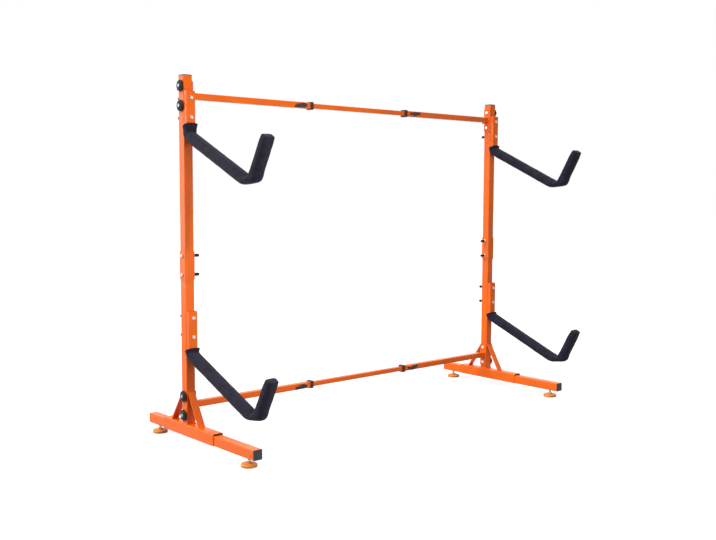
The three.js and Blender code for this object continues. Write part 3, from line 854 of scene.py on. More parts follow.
class STAND_OT_plugs(bpy.types.Operator):
    """Plastic plugs in the ends of the foot beams and thin caps on the posts."""

    bl_idname = "stand.plugs"
    bl_label = "Plugs and Caps"

    def execute(self, context):
        hardware = context.scene.stand_hardware
        low, high = post_box("foot_front_plug")
        flange = hardware.plug_flange
        plug = square_plug(high.x - low.x, flange, high.y - low.y - flange, "grey")
        places = {}
        for side in SIDES:
            for end, corner, way, turn in (("front", 0, 1, 0), ("rear", 1, -1, math.pi)):
                node = f"{side}_foot_{end}_plug"
                seat = middle(node)
                seat.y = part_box(node)[corner].y + way * flange
                places[node] = at(*seat) @ turned("Z", turn)
        fit_copies(plug, places)

        low, high = post_box("post_cap")
        flange = hardware.cap_flange
        cap = square_plug(high.x - low.x, flange, high.z - low.z - flange, "cap")
        seat = at(0, 0, high.z - flange) @ turned("X", -math.pi / 2)
        fit_copies(cap, on_uprights("post_cap", seat))
        return {"FINISHED"}


def threaded_rod(radius, start, end, pitch):
    """A rod along Z whose surface rises and falls with the thread."""
    root = radius - pitch * 0.5
    profile = [(0, start), (root, start)]
    height = start
    while height + pitch < end:
        profile += [(radius, height + pitch / 2), (root, height + pitch)]
        height += pitch
    return lathe("thread", profile + [(root, end), (0, end)], 24)


class STAND_OT_levelling_feet(bpy.types.Operator):
    """Amber levelling feet, each a dished disc with a hub and a threaded stud."""

    bl_idname = "stand.levelling_feet"
    bl_label = "Levelling Feet"

    def execute(self, context):
        feet = context.scene.stand_feet
        low, high = post_box("front_levelling_foot")
        disc, edge, hub, top = feet.pad_radius, feet.pad_edge, feet.hub_radius, feet.hub_height
        waist = disc - feet.groove
        rim = [(0, 0), (disc, 0), (disc, edge * 0.36), (waist, edge * 0.42), (waist, edge * 0.5)]
        rim += [(disc, edge * 0.56), (disc, edge), (disc * 0.92, edge + 0.0024)]
        dish = [(disc * 0.84, edge + 0.0017), (disc * 0.62, edge + 0.0026)]
        dish += [(hub * 1.1, feet.dish_height), (hub, top), (0, top)]
        pad = painted(lathe("pad", rim + dish, steps=64, rounding=0.0009), "amber")
        pitch = context.scene.stand_hardware.thread_pitch * 1.2
        stud = painted(threaded_rod(feet.stud_radius, top * 0.8, high.z - low.z, pitch), "zinc")
        places = {}
        for node in named("{}_{}_levelling_foot", SIDES, ("front", "rear")):
            seat = middle(node)
            seat.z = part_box(node)[0].z
            places[node] = at(*seat)
        fit_copies(joined("foot", pad, stud), places)
        return {"FINISHED"}


# Uprights


def drill_post(post, tier):
    """Drill a post for the knobs and arm bolts of one tier and for its coupler bolt."""
    drill(post, X, heights(tier + "_rail_{}_knob") + [middle(f"left_{tier}_coupler_bolt").z])
    drill(post, Y, heights(tier + "_arm_{}_bolt"))


def welded_brace(post_face, saddle_top, reach):
    """A flat brace behind the post, trimmed to the post and the saddle, with its welds."""
    steel = bpy.context.scene.stand_steel
    top, foot, thickness = saddle_top + steel.brace_rise, post_face + reach, steel.brace_thickness
    run = Vector((0, reach, -steel.brace_rise))
    slope = math.atan2(run.y, -run.z)
    inner = Vector((0, -math.cos(slope), -math.sin(slope)))
    centre = Vector((0, post_face, top)) + run / 2 + inner * thickness / 2
    size = Vector((steel.brace_width, thickness, run.length * 1.3)) / 2
    brace = block("brace", -size, size)
    soften(brace, steel.edge * 1.2)
    moved(brace, at(*centre) @ turned("X", slope), "brace")
    trim(brace, (0, post_face, 0), (0, -1, 0))
    trim(brace, (0, 0, saddle_top), (0, 0, -1))

    side = steel.brace_width / 2 - steel.weld * 0.6
    at_post, at_saddle = post_face + 0.0005, saddle_top + 0.0003
    seams = (
        (at_post, top, 1.0),
        (foot, at_saddle, 1.0),
        (at_post, top - thickness / math.sin(slope), 0.8),
        (foot - thickness / math.cos(slope), at_saddle, 0.8),
    )
    beads = [weld_bead((-side, y, z), (side, y, z), steel.weld * share) for y, z, share in seams]
    return joined("brace", brace, *beads)


class STAND_OT_foot_frames(bpy.types.Operator):
    """Folded saddles with their lower posts and flat braces, welded together."""

    bl_idname = "stand.foot_frames"
    bl_label = "Foot Frames"

    def execute(self, context):
        steel = context.scene.stand_steel
        low, high = post_box("foot_frame")
        beam_top = post_box("foot_beam")[1].z
        top = beam_top + steel.saddle_wall + ROOM + steel.saddle_gap
        roof, inside = top - steel.saddle_top_wall, high.x - steel.saddle_wall
        saddle = block("saddle", low, (high.x, high.y, top))
        round_edges(saddle, running(Y, (Z, top, top)), steel.saddle_corner)
        soften(saddle, steel.edge * 3, 3)
        below = (-inside, low.y - 0.01, low.z - 0.01)
        hollow = block("hollow", below, (inside, high.y + 0.01, roof))
        round_edges(hollow, running(Y, (Z, roof, roof)), 0.0012)
        cut(saddle, hollow)
        # Black strips in both ends of the gap between the saddle's top and the beam: painted shade
        # that darkens the gap, not real parts.
        shade_strips = []
        setback, wide = steel.shim_setback, inside - 0.0004
        for start in (low.y + setback, high.y - setback - steel.shim_length):
            end = (wide, start + steel.shim_length, roof - 0.0001)
            shim = block("shim", (-wide, start, beam_top + 0.0001), end)
            shade_strips.append(painted(shim, "black"))

        post_low, post_high = post_box("upper_post")
        half = (post_high.x - post_low.x) / 2
        foot, head = (-half, -half, top - 0.001), (half, half, high.z)
        post = square_tube("post", foot, head, Z, steel.post_corner, steel.post_wall, steel.edge)
        drill_post(post, "lower")
        rear = welded_brace(half, top, steel.rear_brace_reach)
        front = welded_brace(half, top, steel.front_brace_reach)
        moved(front, turned("Z", math.pi), "front brace")
        beads = weld_ring(half, half, (0, 0, top + 0.0004), steel.weld)
        whole = painted(joined("foot frame", saddle, post, rear, front, beads), "paint")
        whole = joined("foot frame", whole, *shade_strips)
        fit_copies(whole, on_uprights("foot_frame"))
        return {"FINISHED"}


class STAND_OT_uprights(bpy.types.Operator):
    """Upper posts and the sleeves that join them to the lower ones."""

    bl_idname = "stand.uprights"
    bl_label = "Uprights"

    def execute(self, context):
        steel = context.scene.stand_steel
        low, high = post_box("upper_post")
        post = square_tube("post", low, high, Z, steel.post_corner, steel.post_wall, steel.edge)
        drill_post(post, "upper")
        fit_copies(painted(post, "paint"), on_uprights("upper_post"))

        low, high = post_box("post_coupler")
        corner, wall, edge = steel.coupler_corner, steel.coupler_wall, steel.edge * 1.4
        sleeve = square_tube("sleeve", low, high, Z, corner, wall, edge)
        drill(sleeve, X, heights("{}_coupler_bolt"))
        fit_copies(painted(sleeve, "paint"), on_uprights("post_coupler"))
        return {"FINISHED"}


# Fasteners. Each is modelled along +Z with the seat of its head at zero.


def hexagon(start, end, head=False):
    """A hexagon head or nut with its corners turned down."""
    radius = bpy.context.scene.stand_hardware.hex_radius
    piece = rod("hexagon", radius, (0, 0, start), (0, 0, end), 6)
    for sign in (-1, 1):
        pick(piece, "FACE", facing(Z, sign))
        bpy.ops.mesh.inset(thickness=radius * 0.14, depth=0.0)
        bpy.ops.mesh.inset(thickness=radius * 0.02, depth=0.0)
    leave_edit_mode()
    for vertex in piece.data.vertices:
        if math.hypot(vertex.co.x, vertex.co.y) > radius * 0.95:
            down = 1 if vertex.co.z < (start + end) / 2 else -1
            vertex.co.z += (end - start) * 0.16 * down
    if head:
        # Without this ring the head's face renders almost white.
        pick(piece, "FACE", facing(Z, -1))
        bpy.ops.mesh.inset(thickness=radius * 0.3, depth=0.0)
        leave_edit_mode()
    return piece


def capped_bolt(stack):
    """A bolt through a stack, its nut, a length of bare thread and a domed plastic cap."""
    hardware = bpy.context.scene.stand_hardware
    bolt, cap = hardware.bolt_radius, hardware.cap_radius
    nut_end = stack + hardware.nut_thickness
    start = nut_end + hardware.bare_thread
    end = start + hardware.cap_length
    head = hexagon(-hardware.head_thickness, 0, head=True)
    shank = rod("shank", bolt, (0, 0, -hardware.head_thickness / 2), (0, 0, stack + 0.001))
    thread = threaded_rod(bolt, stack, start + 0.004, hardware.thread_pitch)
    nut = hexagon(stack, nut_end)
    steel = painted(joined("steel", head, shank, thread, nut), "zinc")
    rim = [(0, start), (cap, start), (cap, start + 0.0018), (cap * 0.93, start + 0.0026)]
    tip = [(cap * 0.93, end - 0.0055), (cap * 0.84, end - 0.003), (cap * 0.55, end - 0.0009)]
    cover = painted(lathe("cover", rim + tip + [(0, end)], 32, rounding=0.0007), "black")
    return joined("bolt", steel, cover)


class STAND_OT_bolts(bpy.types.Operator):
    """Bolts through the couplers and the arms' brackets."""

    bl_idname = "stand.bolts"
    bl_label = "Bolts"

    def execute(self, context):
        hardware = context.scene.stand_hardware
        head = hardware.head_thickness
        beyond = head + hardware.nut_thickness + hardware.bare_thread + hardware.cap_length
        low, high = post_box("upper_coupler_bolt")
        places = from_outside(named("{}_{}_coupler_bolt", SIDES, TIERS), head)
        fit_copies(capped_bolt(high.x - low.x - beyond), places)

        low, high = post_box("upper_arm_upper_bolt")
        places = {}
        for node in named("{}_{}_arm_{}_bolt", SIDES, TIERS, TIERS):
            seat = middle(node)
            seat.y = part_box(node)[0].y + head
            places[node] = at(*seat) @ turned("X", -math.pi / 2)
        fit_copies(capped_bolt(high.y - low.y - beyond), places)
        return {"FINISHED"}


def lobed_grip(back):
    """The lobed disc of a knob, from its back towards -Z."""
    hardware = bpy.context.scene.stand_hardware
    radius, lobes = hardware.knob_radius, hardware.knob_lobes
    select_only()
    bpy.ops.mesh.primitive_circle_add(
        vertices=lobes * 16, radius=radius, location=(0, 0, back), fill_type="NGON"
    )
    grip = settle("grip")
    for vertex in grip.data.vertices:
        dip = (1 - math.cos(math.atan2(vertex.co.y, vertex.co.x) * lobes)) / 2
        share = 1 - hardware.knob_lobe_depth * dip**1.4 / radius
        vertex.co.x *= share
        vertex.co.y *= share
    pick(grip, "FACE", everything)
    bpy.ops.mesh.extrude_region_move(TRANSFORM_OT_translate={"value": (0, 0, -hardware.knob_grip)})
    bpy.ops.mesh.select_all(action="SELECT")
    bpy.ops.mesh.normals_make_consistent(inside=False)
    round_edges(grip, level, hardware.knob_edge)
    return grip


class STAND_OT_star_knobs(bpy.types.Operator):
    """Black star knobs with a bright centre, moulded on their bolts."""

    bl_idname = "stand.star_knobs"
    bl_label = "Star Knobs"

    def execute(self, context):
        hardware = context.scene.stand_hardware
        low, high = post_box("upper_rail_upper_knob")
        back = -hardware.knob_stand_off
        face, front = back - hardware.knob_thickness, back - hardware.knob_grip
        proud = face - hardware.button_rise
        rise, dome = front - face, hardware.knob_radius * 0.82
        cone = [(0, front + 0.001), (dome, front + 0.001), (dome, front - rise * 0.08)]
        cone += [(dome * 0.8, front - rise * 0.42), (dome * 0.56, front - rise * 0.82)]
        cone += [(dome * 0.46, face + 0.0002), (0, face + 0.0002)]
        hub = hardware.knob_hub_radius
        collar = [(0, back - 0.002), (hub, back - 0.002), (hub, 0), (0, 0)]
        disc = hardware.button_radius
        boss = [(0, face + 0.004), (disc * 1.35, face + 0.004), (disc * 1.22, face), (0, face)]
        button = [(0, proud), (disc * 0.72, face - hardware.button_rise * 0.85), (disc, face)]
        button += [(disc, face + 0.002), (0, face + 0.002)]
        moulding = [
            lobed_grip(back),
            lathe("cone", cone, 40, rounding=0.0006),
            lathe("hub", collar, 40, rounding=0.0006),
            lathe("boss", boss, 40, rounding=0.0005),
        ]
        plastic = painted(joined("plastic", *moulding), "black")
        centre = painted(lathe("button", button, 40, rounding=0.0006), "button")
        end, bolt = high.x - low.x + proud, hardware.bolt_radius
        shank = painted(rod("shank", bolt, (0, 0, -0.001), (0, 0, end - 0.012)), "zinc")
        thread = painted(threaded_rod(bolt, end - 0.0125, end, hardware.thread_pitch), "zinc")
        knob = joined("knob", plastic, shank, thread, centre)
        places = from_outside(named("{}_{}_rail_{}_knob", SIDES, TIERS, TIERS), -proud)
        fit_copies(knob, places)
        return {"FINISHED"}


# Arms


def heading(angle):
    """The direction at an angle from straight down, turning towards the front."""
    return Vector((0, -math.sin(angle), -math.cos(angle)))


def outward(angle):
    """The direction from a bend's centre out to the line at that angle."""
    return Vector((0, math.cos(angle), -math.sin(angle)))


class ArmLine:
    """The centre line of an arm, from the bracket's top end at height zero."""

    def __init__(self, tier, root_radius):
        arms = bpy.context.scene.stand_arms
        self.centre = post_box(tier + "_arm")[1].y - bpy.context.scene.stand_steel.arm_depth / 2
        reach, drop = getattr(arms, tier + "_reach"), getattr(arms, tier + "_drop")
        root, corner = Vector((0, self.centre, -arms.root_drop)), Vector((0, -reach, -drop))
        self.slope = math.atan2(root.y - corner.y, root.z - corner.z)
        self.hook = math.pi / 2 + getattr(arms, tier + "_rise")
        root_run = root_radius * math.tan(self.slope / 2)
        hook_run = arms.hook_radius * math.tan((self.hook - self.slope) / 2)
        self.root_start = root - heading(0) * root_run
        self.root_centre = self.root_start - outward(0) * root_radius
        self.leg = (corner - root).length - root_run - hook_run
        hook_start = corner - heading(self.slope) * hook_run
        self.hook_centre = hook_start - outward(self.slope) * arms.hook_radius
        self.hook_radius = (hook_start - self.hook_centre).length
        self.hook_length = getattr(arms, tier + "_length") - hook_run

    def end(self, past):
        """The point at a distance past the end of the line."""
        hook_end = self.hook_centre + outward(self.hook) * self.hook_radius
        return hook_end + heading(self.hook) * (self.hook_length + past)

    def sweep(self, piece, start, step, past):
        """Run the ring at height start along the line and past its end."""
        pick(piece, "EDGE", everything)

        def straight(direction, distance):
            steps = max(1, round(distance / step))
            move = {"value": direction * (distance / steps)}
            for _ in range(steps):
                bpy.ops.mesh.extrude_region_move(TRANSFORM_OT_translate=move)

        def bend(centre, angle, radius):
            steps = max(4, round(angle * radius / step))
            bpy.ops.mesh.spin(steps=steps, angle=angle, center=centre, axis=(1, 0, 0))

        straight(heading(0), start - self.root_start.z)
        bend(self.root_centre, self.slope, (self.root_start - self.root_centre).length * 1.5)
        straight(heading(self.slope), self.leg)
        bend(self.hook_centre, self.hook - self.slope, self.hook_radius)
        straight(heading(self.hook), self.hook_length + past)
        leave_edit_mode()


def ring(half_width, half_depth, power, sides, place):
    """A ring of points on a rounded oblong, lying flat at a place."""
    select_only()
    bpy.ops.mesh.primitive_circle_add(vertices=sides, radius=1, location=place)
    for vertex in bpy.context.object.data.vertices:
        turn = math.atan2(vertex.co.y, vertex.co.x)
        c, s = math.cos(turn), math.sin(turn)
        vertex.co.x = math.copysign(abs(c) ** (2 / power), c) * half_width
        vertex.co.y = math.copysign(abs(s) ** (2 / power), s) * half_depth
    return settle("ring")


def close_ends(piece):
    """Fill the open ends of a swept shell."""
    pick(piece, "EDGE", lambda edge: edge.is_boundary)
    bpy.ops.mesh.edge_face_add()
    leave_edit_mode()


def face_outwards(piece):
    """Weld doubled points and turn all faces outwards."""
    pick(piece, "FACE", everything)
    bpy.ops.mesh.remove_doubles(threshold=TINY)
    bpy.ops.mesh.normals_make_consistent(inside=False)
    leave_edit_mode()


def swept_tube(tier, start, room=0.0):
    """The outside of an arm's hooked tube, from height start, with some room round it."""
    steel = bpy.context.scene.stand_steel
    line = ArmLine(tier, bpy.context.scene.stand_arms.root_radius)
    half_width, half_depth = steel.arm_width / 2 + room, steel.arm_depth / 2 + room
    tube = ring(half_width, half_depth, 5.0, 32, (0, line.centre, start))
    line.sweep(tube, start, 0.02, room)
    return tube


class STAND_OT_arms(bpy.types.Operator):
    """Arms: a flat bracket tube with a hooked tube welded below it."""

    bl_idname = "stand.arms"
    bl_label = "Arms"

    def execute(self, context):
        steel = context.scene.stand_steel
        floor, half_depth = -steel.bracket_length, steel.arm_depth / 2
        for tier in TIERS:
            low, high = post_box(tier + "_arm")
            half, front = (high.x - low.x) / 2, high.y - steel.arm_depth
            bracket = block("bracket", (-half, front, floor), (half, high.y, 0))
            open_faces(bracket, facing(Z, 1))
            round_edges(bracket, running(Z), steel.bracket_corner)
            give_wall(bracket, steel.arm_wall)
            soften(bracket, steel.edge)
            drill(bracket, Y, [height - high.z for height in heights(tier + "_arm_{}_bolt")])
            tube = swept_tube(tier, floor + 0.001)
            face_outwards(tube)
            give_wall(tube, steel.arm_wall)
            seam = (0, front + half_depth, floor - 0.0005)
            beads = weld_ring(steel.arm_width / 2, half_depth - 0.002, seam, steel.weld * 0.8)
            arm = painted(joined("arm", bracket, tube, beads), "paint")
            fit_copies(arm, on_uprights(tier + "_arm", at(0, 0, high.z)))
        return {"FINISHED"}


def bump_at(share, place, width):
    return math.exp(-(((share - place) / width) ** 2))


def reach_of(angle, power):
    """How far a rounded square of half size 1 reaches at an angle."""
    c, s = abs(math.cos(angle)), abs(math.sin(angle))
    return (c**power + s**power) ** (-1 / power)


def shape_foam(sleeve, line, rim):
    """Flare the foam's rim, fold it inside the hook, bulge it outside and square its tip."""
    foam = bpy.context.scene.stand_foam
    radius, half = line.hook_radius, foam.depth / 2
    inner = radius - half
    turn = line.hook - line.slope
    along, end = heading(line.hook), line.end(foam.tip)
    for vertex in sleeve.data.vertices:
        place = vertex.co
        across = place.x / (foam.width / 2)
        above = place.z + rim
        if above > -foam.flare_length:
            flare = foam.flare * min(1.0, 1 + above / foam.flare_length) ** 2
            place.x += math.copysign(flare, place.x) * abs(across)
            continue
        arm = place - line.hook_centre
        angle = math.atan2(-arm.z, arm.y)
        if angle < -math.pi / 2:
            angle += math.tau
        share = (angle - line.slope) / turn
        distance = math.hypot(arm.y, arm.z)
        near = distance < radius + foam.depth and place.y < line.root_centre.y - 0.05
        if near and -0.2 < share < 1.2:
            if distance > radius:
                outside = (distance - radius) / half
                bulge = foam.bulge * bump_at(share, 0.8, 0.17)
                shift = outside * (bulge - foam.squeeze * bump_at(share, 0.36, 0.26))
            else:
                inside = (radius - distance) / half
                from_middle = max(0.0, 0.5 - abs(share - 0.5)) * turn
                notch = min(inner / math.cos(from_middle) - inner, foam.crease)
                beside = bump_at(share, 0.12, 0.08) + bump_at(share, 0.88, 0.08)
                shift = inside**0.8 * (notch - foam.crease_swell * beside)
                swell = foam.side_swell * notch / foam.crease * abs(across) ** 3
                place.x += math.copysign(swell, place.x)
            arm *= (distance + shift) / distance
            place.y = line.hook_centre.y + arm.y
            place.z = line.hook_centre.z + arm.z
        to_end = (end - place).dot(along)
        if 0 <= to_end + TINY < foam.square_length and share > 1:
            offset = (place - end).dot(outward(line.hook))
            angle = math.atan2(offset / half, across)
            squarer = reach_of(angle, foam.tip_squareness) / reach_of(angle, foam.squareness)
            near_end = 1 - to_end / foam.square_length
            grown = 1 + (squarer - 1) * near_end**0.7
            place.x *= grown * (1 - foam.tip_narrowing * near_end)
            flatter = grown * (1 - foam.tip_flatness * near_end) - 1
            move = outward(line.hook) * offset * flatter
            place.y += move.y
            place.z += move.z
    sleeve.data.update()


class STAND_OT_foam_sleeves(bpy.types.Operator):
    """Foam sleeves over the arms, with a slanted rim, a creased hook and a closed tip."""

    bl_idname = "stand.foam_sleeves"
    bl_label = "Foam Sleeves"

    def execute(self, context):
        foam, steel = context.scene.stand_foam, context.scene.stand_steel
        lumps = bpy.data.textures.new("foam lumps", "CLOUDS")
        lumps.noise_scale = 0.045
        room, floor = foam.arm_room, -steel.bracket_length
        post_face = (0, post_box("upper_post")[0].y - room, 0)
        slant = (0, math.sin(foam.rim_tilt), math.cos(foam.rim_tilt))
        for tier in TIERS:
            low, high = post_box(tier + "_arm")
            half = (high.x - low.x) / 2 + room
            front = high.y - steel.arm_depth - room
            line = ArmLine(tier, foam.root_radius)
            for side in SIDES:
                node = f"{side}_{tier}_arm_pad"
                rim = getattr(foam, f"{side}_{tier}_rim")
                start, rim_centre = 0.025 - rim, (0, line.centre, -rim)
                place = (0, line.centre, start)
                sleeve = ring(foam.width / 2, foam.depth / 2, foam.squareness, foam.sides, place)
                line.sweep(sleeve, start, foam.station, foam.tip)
                close_ends(sleeve)
                face_outwards(sleeve)
                tip = lying_in(line.end(foam.tip), heading(line.hook))
                round_edges(sleeve, tip, foam.tip_rounding, 5)
                shape_foam(sleeve, line, rim)
                unevenness = {"texture": lumps, "strength": foam.lump_height, "mid_level": 0.55}
                modify(sleeve, "DISPLACE", **unevenness)
                trim(sleeve, post_face, (0, 1, 0))
                trim(sleeve, rim_centre, slant)
                round_edges(sleeve, lying_in(rim_centre, slant), foam.rim_rounding, 3)
                pocket = block("pocket", (-half, front, floor - room), (half, high.y + 0.02, 0.01))
                bore = swept_tube(tier, floor + 0.003, room)
                close_ends(bore)
                face_outwards(bore)
                cut(sleeve, pocket, bore)
                matrix = at(*POSTS[side]) @ at(0, 0, high.z)
                piece = moved(painted(sleeve, "foam"), matrix, node + "_foam")
                fit(piece, node, angle=50)
        return {"FINISHED"}


# Rails. Their pieces are modelled with the rail's middle at height zero.


def lever_pin():
    """The place of a lever's pin."""
    rails = bpy.context.scene.stand_rails
    mouth = post_box("upper_rail_collar")[1].x
    return Vector((mouth - rails.pin_setback, -rails.outer_size / 2 - rails.pin_stand_off, 0))


class STAND_OT_rail_tubes(bpy.types.Operator):
    """Outer rail tubes with their end plates, weld nuts and lever ears."""

    bl_idname = "stand.rail_tubes"
    bl_label = "Outer Rail Tubes"

    def execute(self, context):
        steel, rails = context.scene.stand_steel, context.scene.stand_rails
        hardware = context.scene.stand_hardware
        low, high = post_box("upper_rail_tube")
        height = middle("upper_inner_rail").z
        half, face, pin = rails.outer_size / 2, low.x + steel.flange_thickness, lever_pin().x
        start, mouth = (face - 0.001, -half, -half), (high.x, half, half)
        tube = square_tube("tube", start, mouth, X, steel.rail_corner, steel.rail_wall, steel.edge)
        window, cam = rails.window_length / 2, rails.cam_height / 2 + ROOM
        window_end = (pin + window, -half + steel.rail_wall + 0.002, cam)
        cut(tube, block("window", (pin - window, -half - 0.005, -cam), window_end))

        wide = steel.flange_width / 2
        plate_low, plate_high = (low.x, -wide, low.z - height), (face, wide, high.z - height)
        plate = block("plate", plate_low, plate_high)
        round_edges(plate, running(X), steel.flange_corner, 5)
        soften(plate, steel.edge)
        ears = []
        reach, outside = rails.ear_half_length, cam + rails.ear_thickness
        for bottom, top in ((-outside, -cam), (cam, outside)):
            ear = block("ear", (pin - reach, low.y, bottom), (pin + reach, -half + 0.001, top))
            round_edges(ear, running(Z, (Y, low.y, low.y)), reach * 0.7, 6)
            soften(ear, steel.edge * 0.8)
            ears.append(ear)
        sideways = turned("Y", math.pi / 2)
        beads = weld_ring(half, half, (0, 0, 0), steel.weld)
        moved(beads, at(face + 0.0003, 0, 0) @ sideways, "beads")
        steelwork = painted(joined("steelwork", tube, plate, beads, *ears), "paint")
        nuts = []
        bore = hardware.bolt_radius + hardware.hole_clearance
        for knob in heights("upper_rail_{}_knob"):
            nut = hexagon(-0.0002, hardware.nut_thickness)
            cut(nut, rod("bore", bore, (0, 0, -0.01), (0, 0, 0.02), 24))
            nuts.append(moved(nut, at(face, 0, knob - height) @ sideways, "nut"))
        rail = joined("rail", steelwork, painted(joined("nuts", *nuts), "zinc"))
        fit_copies(rail, on_rails("tube"))
        return {"FINISHED"}


class STAND_OT_rail_collars(bpy.types.Operator):
    """Black plastic collars on the mouths of the outer rail tubes."""

    bl_idname = "stand.rail_collars"
    bl_label = "Rail Collars"

    def execute(self, context):
        rails = context.scene.stand_rails
        low, high = post_box("upper_rail_collar")
        lift = Vector((0, 0, (low.z + high.z) / 2))
        collar = block("collar", low - lift, high - lift)
        round_edges(collar, running(X), rails.collar_corner, 5)
        soften(collar, 0.0009, 3)
        lip, outer, inner = high.x - rails.collar_lip, rails.outer_size / 2, rails.inner_size / 2
        for start, end, half, corner in (
            (low.x - 0.01, lip, outer + ROOM, 0.0022),
            (lip - 0.01, high.x + 0.01, inner + ROOM, 0.0018),
        ):
            bore = block("bore", (start, -half, -half), (end, half, half))
            round_edges(bore, running(X), corner)
            cut(collar, bore)
        fit_copies(painted(collar, "collar"), on_rails("collar"))
        return {"FINISHED"}


class STAND_OT_cam_levers(bpy.types.Operator):
    """Cam levers that lock the telescopic rails, with their pins."""

    bl_idname = "stand.cam_levers"
    bl_label = "Cam Levers"

    def execute(self, context):
        rails = context.scene.stand_rails
        cam_y, thick, thin = rails.cam_offset, rails.root_thickness, rails.tip_thickness
        half_cam, half, slant = rails.cam_height / 2, rails.lever_height / 2, rails.grip_slant
        back = rails.pin_stand_off - rails.face_gap
        start, tip = -rails.ear_half_length - rails.face_gap, -rails.lever_length
        cam = rod("cam", rails.cam_radius, (0, cam_y, -half_cam), (0, cam_y, half_cam), 48)
        soften(cam, 0.0004)
        neck_low = (start - 0.001, cam_y - rails.cam_radius, -half_cam)
        neck = block("neck", neck_low, (0, back, half_cam))
        for vertex in neck.data.vertices:
            if vertex.co.x < start and vertex.co.y < 0:
                vertex.co.y = back - thick
        soften(neck, 0.0004)
        grip = block("grip", (tip, back - thick, -half), (start, back, half))
        for vertex in grip.data.vertices:
            at_tip = vertex.co.x < start - TINY
            if at_tip and vertex.co.y < back - TINY:
                vertex.co.y = back - thin
            if at_tip and vertex.co.z > 0:
                vertex.co.z -= slant
            if not at_tip and vertex.co.z < 0:
                vertex.co.z += slant * 0.35
        round_edges(grip, running(Z, (X, tip, tip)), 0.001, 3)
        soften(grip, 0.0011, 3, angle=30)
        ridges = []
        for from_tip in (0.008, 0.012, 0.016):
            x, share = tip + from_tip, from_tip / (start - tip)
            y = back - thin - (thick - thin) * share
            top = half - slant * (1 - share) - 0.003
            ridge_low = (x - 0.0008, y - 0.0005, -half * 0.75)
            ridge = block("ridge", ridge_low, (x + 0.0008, y + 0.001, top))
            soften(ridge, 0.0003)
            ridges.append(ridge)
        plastic = painted(joined("plastic", cam, neck, grip, *ridges), "lever")
        pin_end = half_cam + ROOM + rails.ear_thickness
        pin = rod("pin", rails.pin_radius, (0, 0, -pin_end), (0, 0, pin_end), 24)
        soften(pin, 0.0004)
        lever = joined("lever", plastic, painted(pin, "zinc"))
        fit_copies(lever, on_rails("lever", at(*lever_pin())))
        return {"FINISHED"}


class STAND_OT_inner_rails(bpy.types.Operator):
    """Inner rails that slide in the outer tubes."""

    bl_idname = "stand.inner_rails"
    bl_label = "Inner Rails"

    def execute(self, context):
        steel = context.scene.stand_steel
        low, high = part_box("upper_inner_rail")
        half, corner = (high - low) / 2, steel.inner_rail_corner
        rail = square_tube("rail", -half, half, X, corner, steel.inner_rail_wall, steel.edge)
        places = {node: at(*middle(node)) for node in named("{}_inner_rail", TIERS)}
        fit_copies(painted(rail, "paint"), places)
        return {"FINISHED"}


# Studio


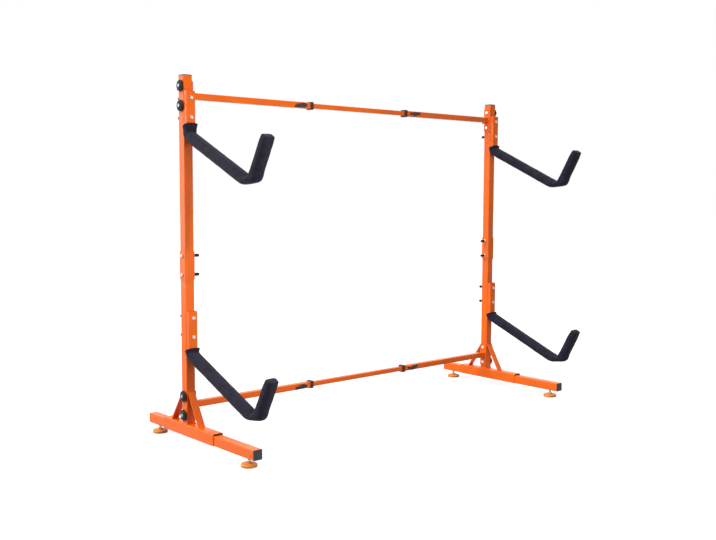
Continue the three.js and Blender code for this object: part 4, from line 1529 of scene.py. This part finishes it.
class STAND_OT_studio(bpy.types.Operator):
    """Pale floor, soft white light and the camera."""

    bl_idname = "stand.studio"
    bl_label = "Studio"

    def execute(self, context):
        looks, shot = context.scene.stand_looks, context.scene.stand_camera
        select_only()
        bpy.ops.mesh.primitive_grid_add(
            x_subdivisions=8, y_subdivisions=8, size=60, location=(0, 0, -0.0005)
        )
        floor = painted(settle("floor"), "floor")
        floor.visible_diffuse = False
        floor.visible_shadow = False

        world = bpy.data.worlds.new("white studio")
        world.use_nodes = True
        backdrop = world.node_tree.nodes["Background"]
        backdrop.inputs["Color"].default_value = (1, 1, 1, 1)
        backdrop.inputs["Strength"].default_value = looks.backdrop
        world.cycles_visibility.diffuse = False
        context.scene.world = world

        # The size is a width for an area light and an angle for a sun.
        for kind, name, place, size, power in (
            ("AREA", "side light", (-2.9, 1.9, 1.3), 2.2, looks.side_power),
            ("AREA", "front light", (-0.7, -1.3, 0.8), 1.1, looks.front_power),
            ("AREA", "high light", (-0.76, -2.0, 2.05), 0.16, looks.high_power),
            ("SUN", "overhead light", (-2.6, 0.3, 3.9), 0.8, looks.sun),
            ("SUN", "room light", (-0.2, 0.0, 4.0), 2.9, looks.room),
            ("SUN", "floor bounce", (-0.2, 0.0, -4.0), 2.9, looks.bounce),
        ):
            bpy.ops.object.light_add(type=kind, location=place)
            lamp = context.object
            lamp.name = lamp.data.name = name
            lamp.visible_camera = False
            setattr(lamp.data, "size" if kind == "AREA" else "angle", size)
            lamp.data.energy = power
            aim = Vector((-0.8 if place[1] < -1 else -0.2, 0, 0.7))
            lamp.rotation_euler = (aim - Vector(place)).to_track_quat("-Z", "Y").to_euler()

        bpy.ops.object.camera_add(location=shot.place, rotation=shot.turn)
        camera = context.object
        camera.name = camera.data.name = "camera"
        camera.data.lens = shot.lens
        camera.data.sensor_width = 36
        camera.data.clip_end = 200
        context.scene.camera = camera
        context.scene.view_settings.view_transform = "Standard"
        return {"FINISHED"}


class STAND_PT_builder(bpy.types.Panel):
    """Lists the steps and the sizes of the stand"""

    bl_idname = "STAND_PT_builder"
    bl_label = "Kayak Stand"
    bl_space_type = "VIEW_3D"
    bl_region_type = "UI"
    bl_category = "Kayak Stand"

    def draw(self, context):
        for step in STEPS:
            self.layout.operator(step.bl_idname)
        for group in GROUPS:
            settings = getattr(context.scene, group)
            box = self.layout.box()
            box.label(text=group.replace("_", " ").title())
            for name in settings.bl_rna.properties.keys():
                if name not in ("rna_type", "name"):
                    box.prop(settings, name)


GROUPS = {
    "stand_steel": StandSteel,
    "stand_arms": StandArms,
    "stand_foam": StandFoam,
    "stand_hardware": StandHardware,
    "stand_feet": StandFeet,
    "stand_rails": StandRails,
    "stand_looks": StandLooks,
    "stand_camera": StandCamera,
}

STEPS = (
    STAND_OT_finishes,
    STAND_OT_studio,
    STAND_OT_foot_beams,
    STAND_OT_plugs,
    STAND_OT_levelling_feet,
    STAND_OT_foot_frames,
    STAND_OT_uprights,
    STAND_OT_bolts,
    STAND_OT_star_knobs,
    STAND_OT_arms,
    STAND_OT_foam_sleeves,
    STAND_OT_rail_tubes,
    STAND_OT_rail_collars,
    STAND_OT_cam_levers,
    STAND_OT_inner_rails,
)


def register():
    for made in (*GROUPS.values(), *STEPS, STAND_PT_builder):
        bpy.utils.register_class(made)
    for name, group in GROUPS.items():
        setattr(bpy.types.Scene, name, PointerProperty(type=group))


def unregister():
    for name in GROUPS:
        delattr(bpy.types.Scene, name)
    for made in reversed((*GROUPS.values(), *STEPS, STAND_PT_builder)):
        bpy.utils.unregister_class(made)


def main():
    register()
    for step in STEPS:
        family, name = step.bl_idname.split(".")
        getattr(getattr(bpy.ops, family), name)()


if __name__ == "__main__":
    main()
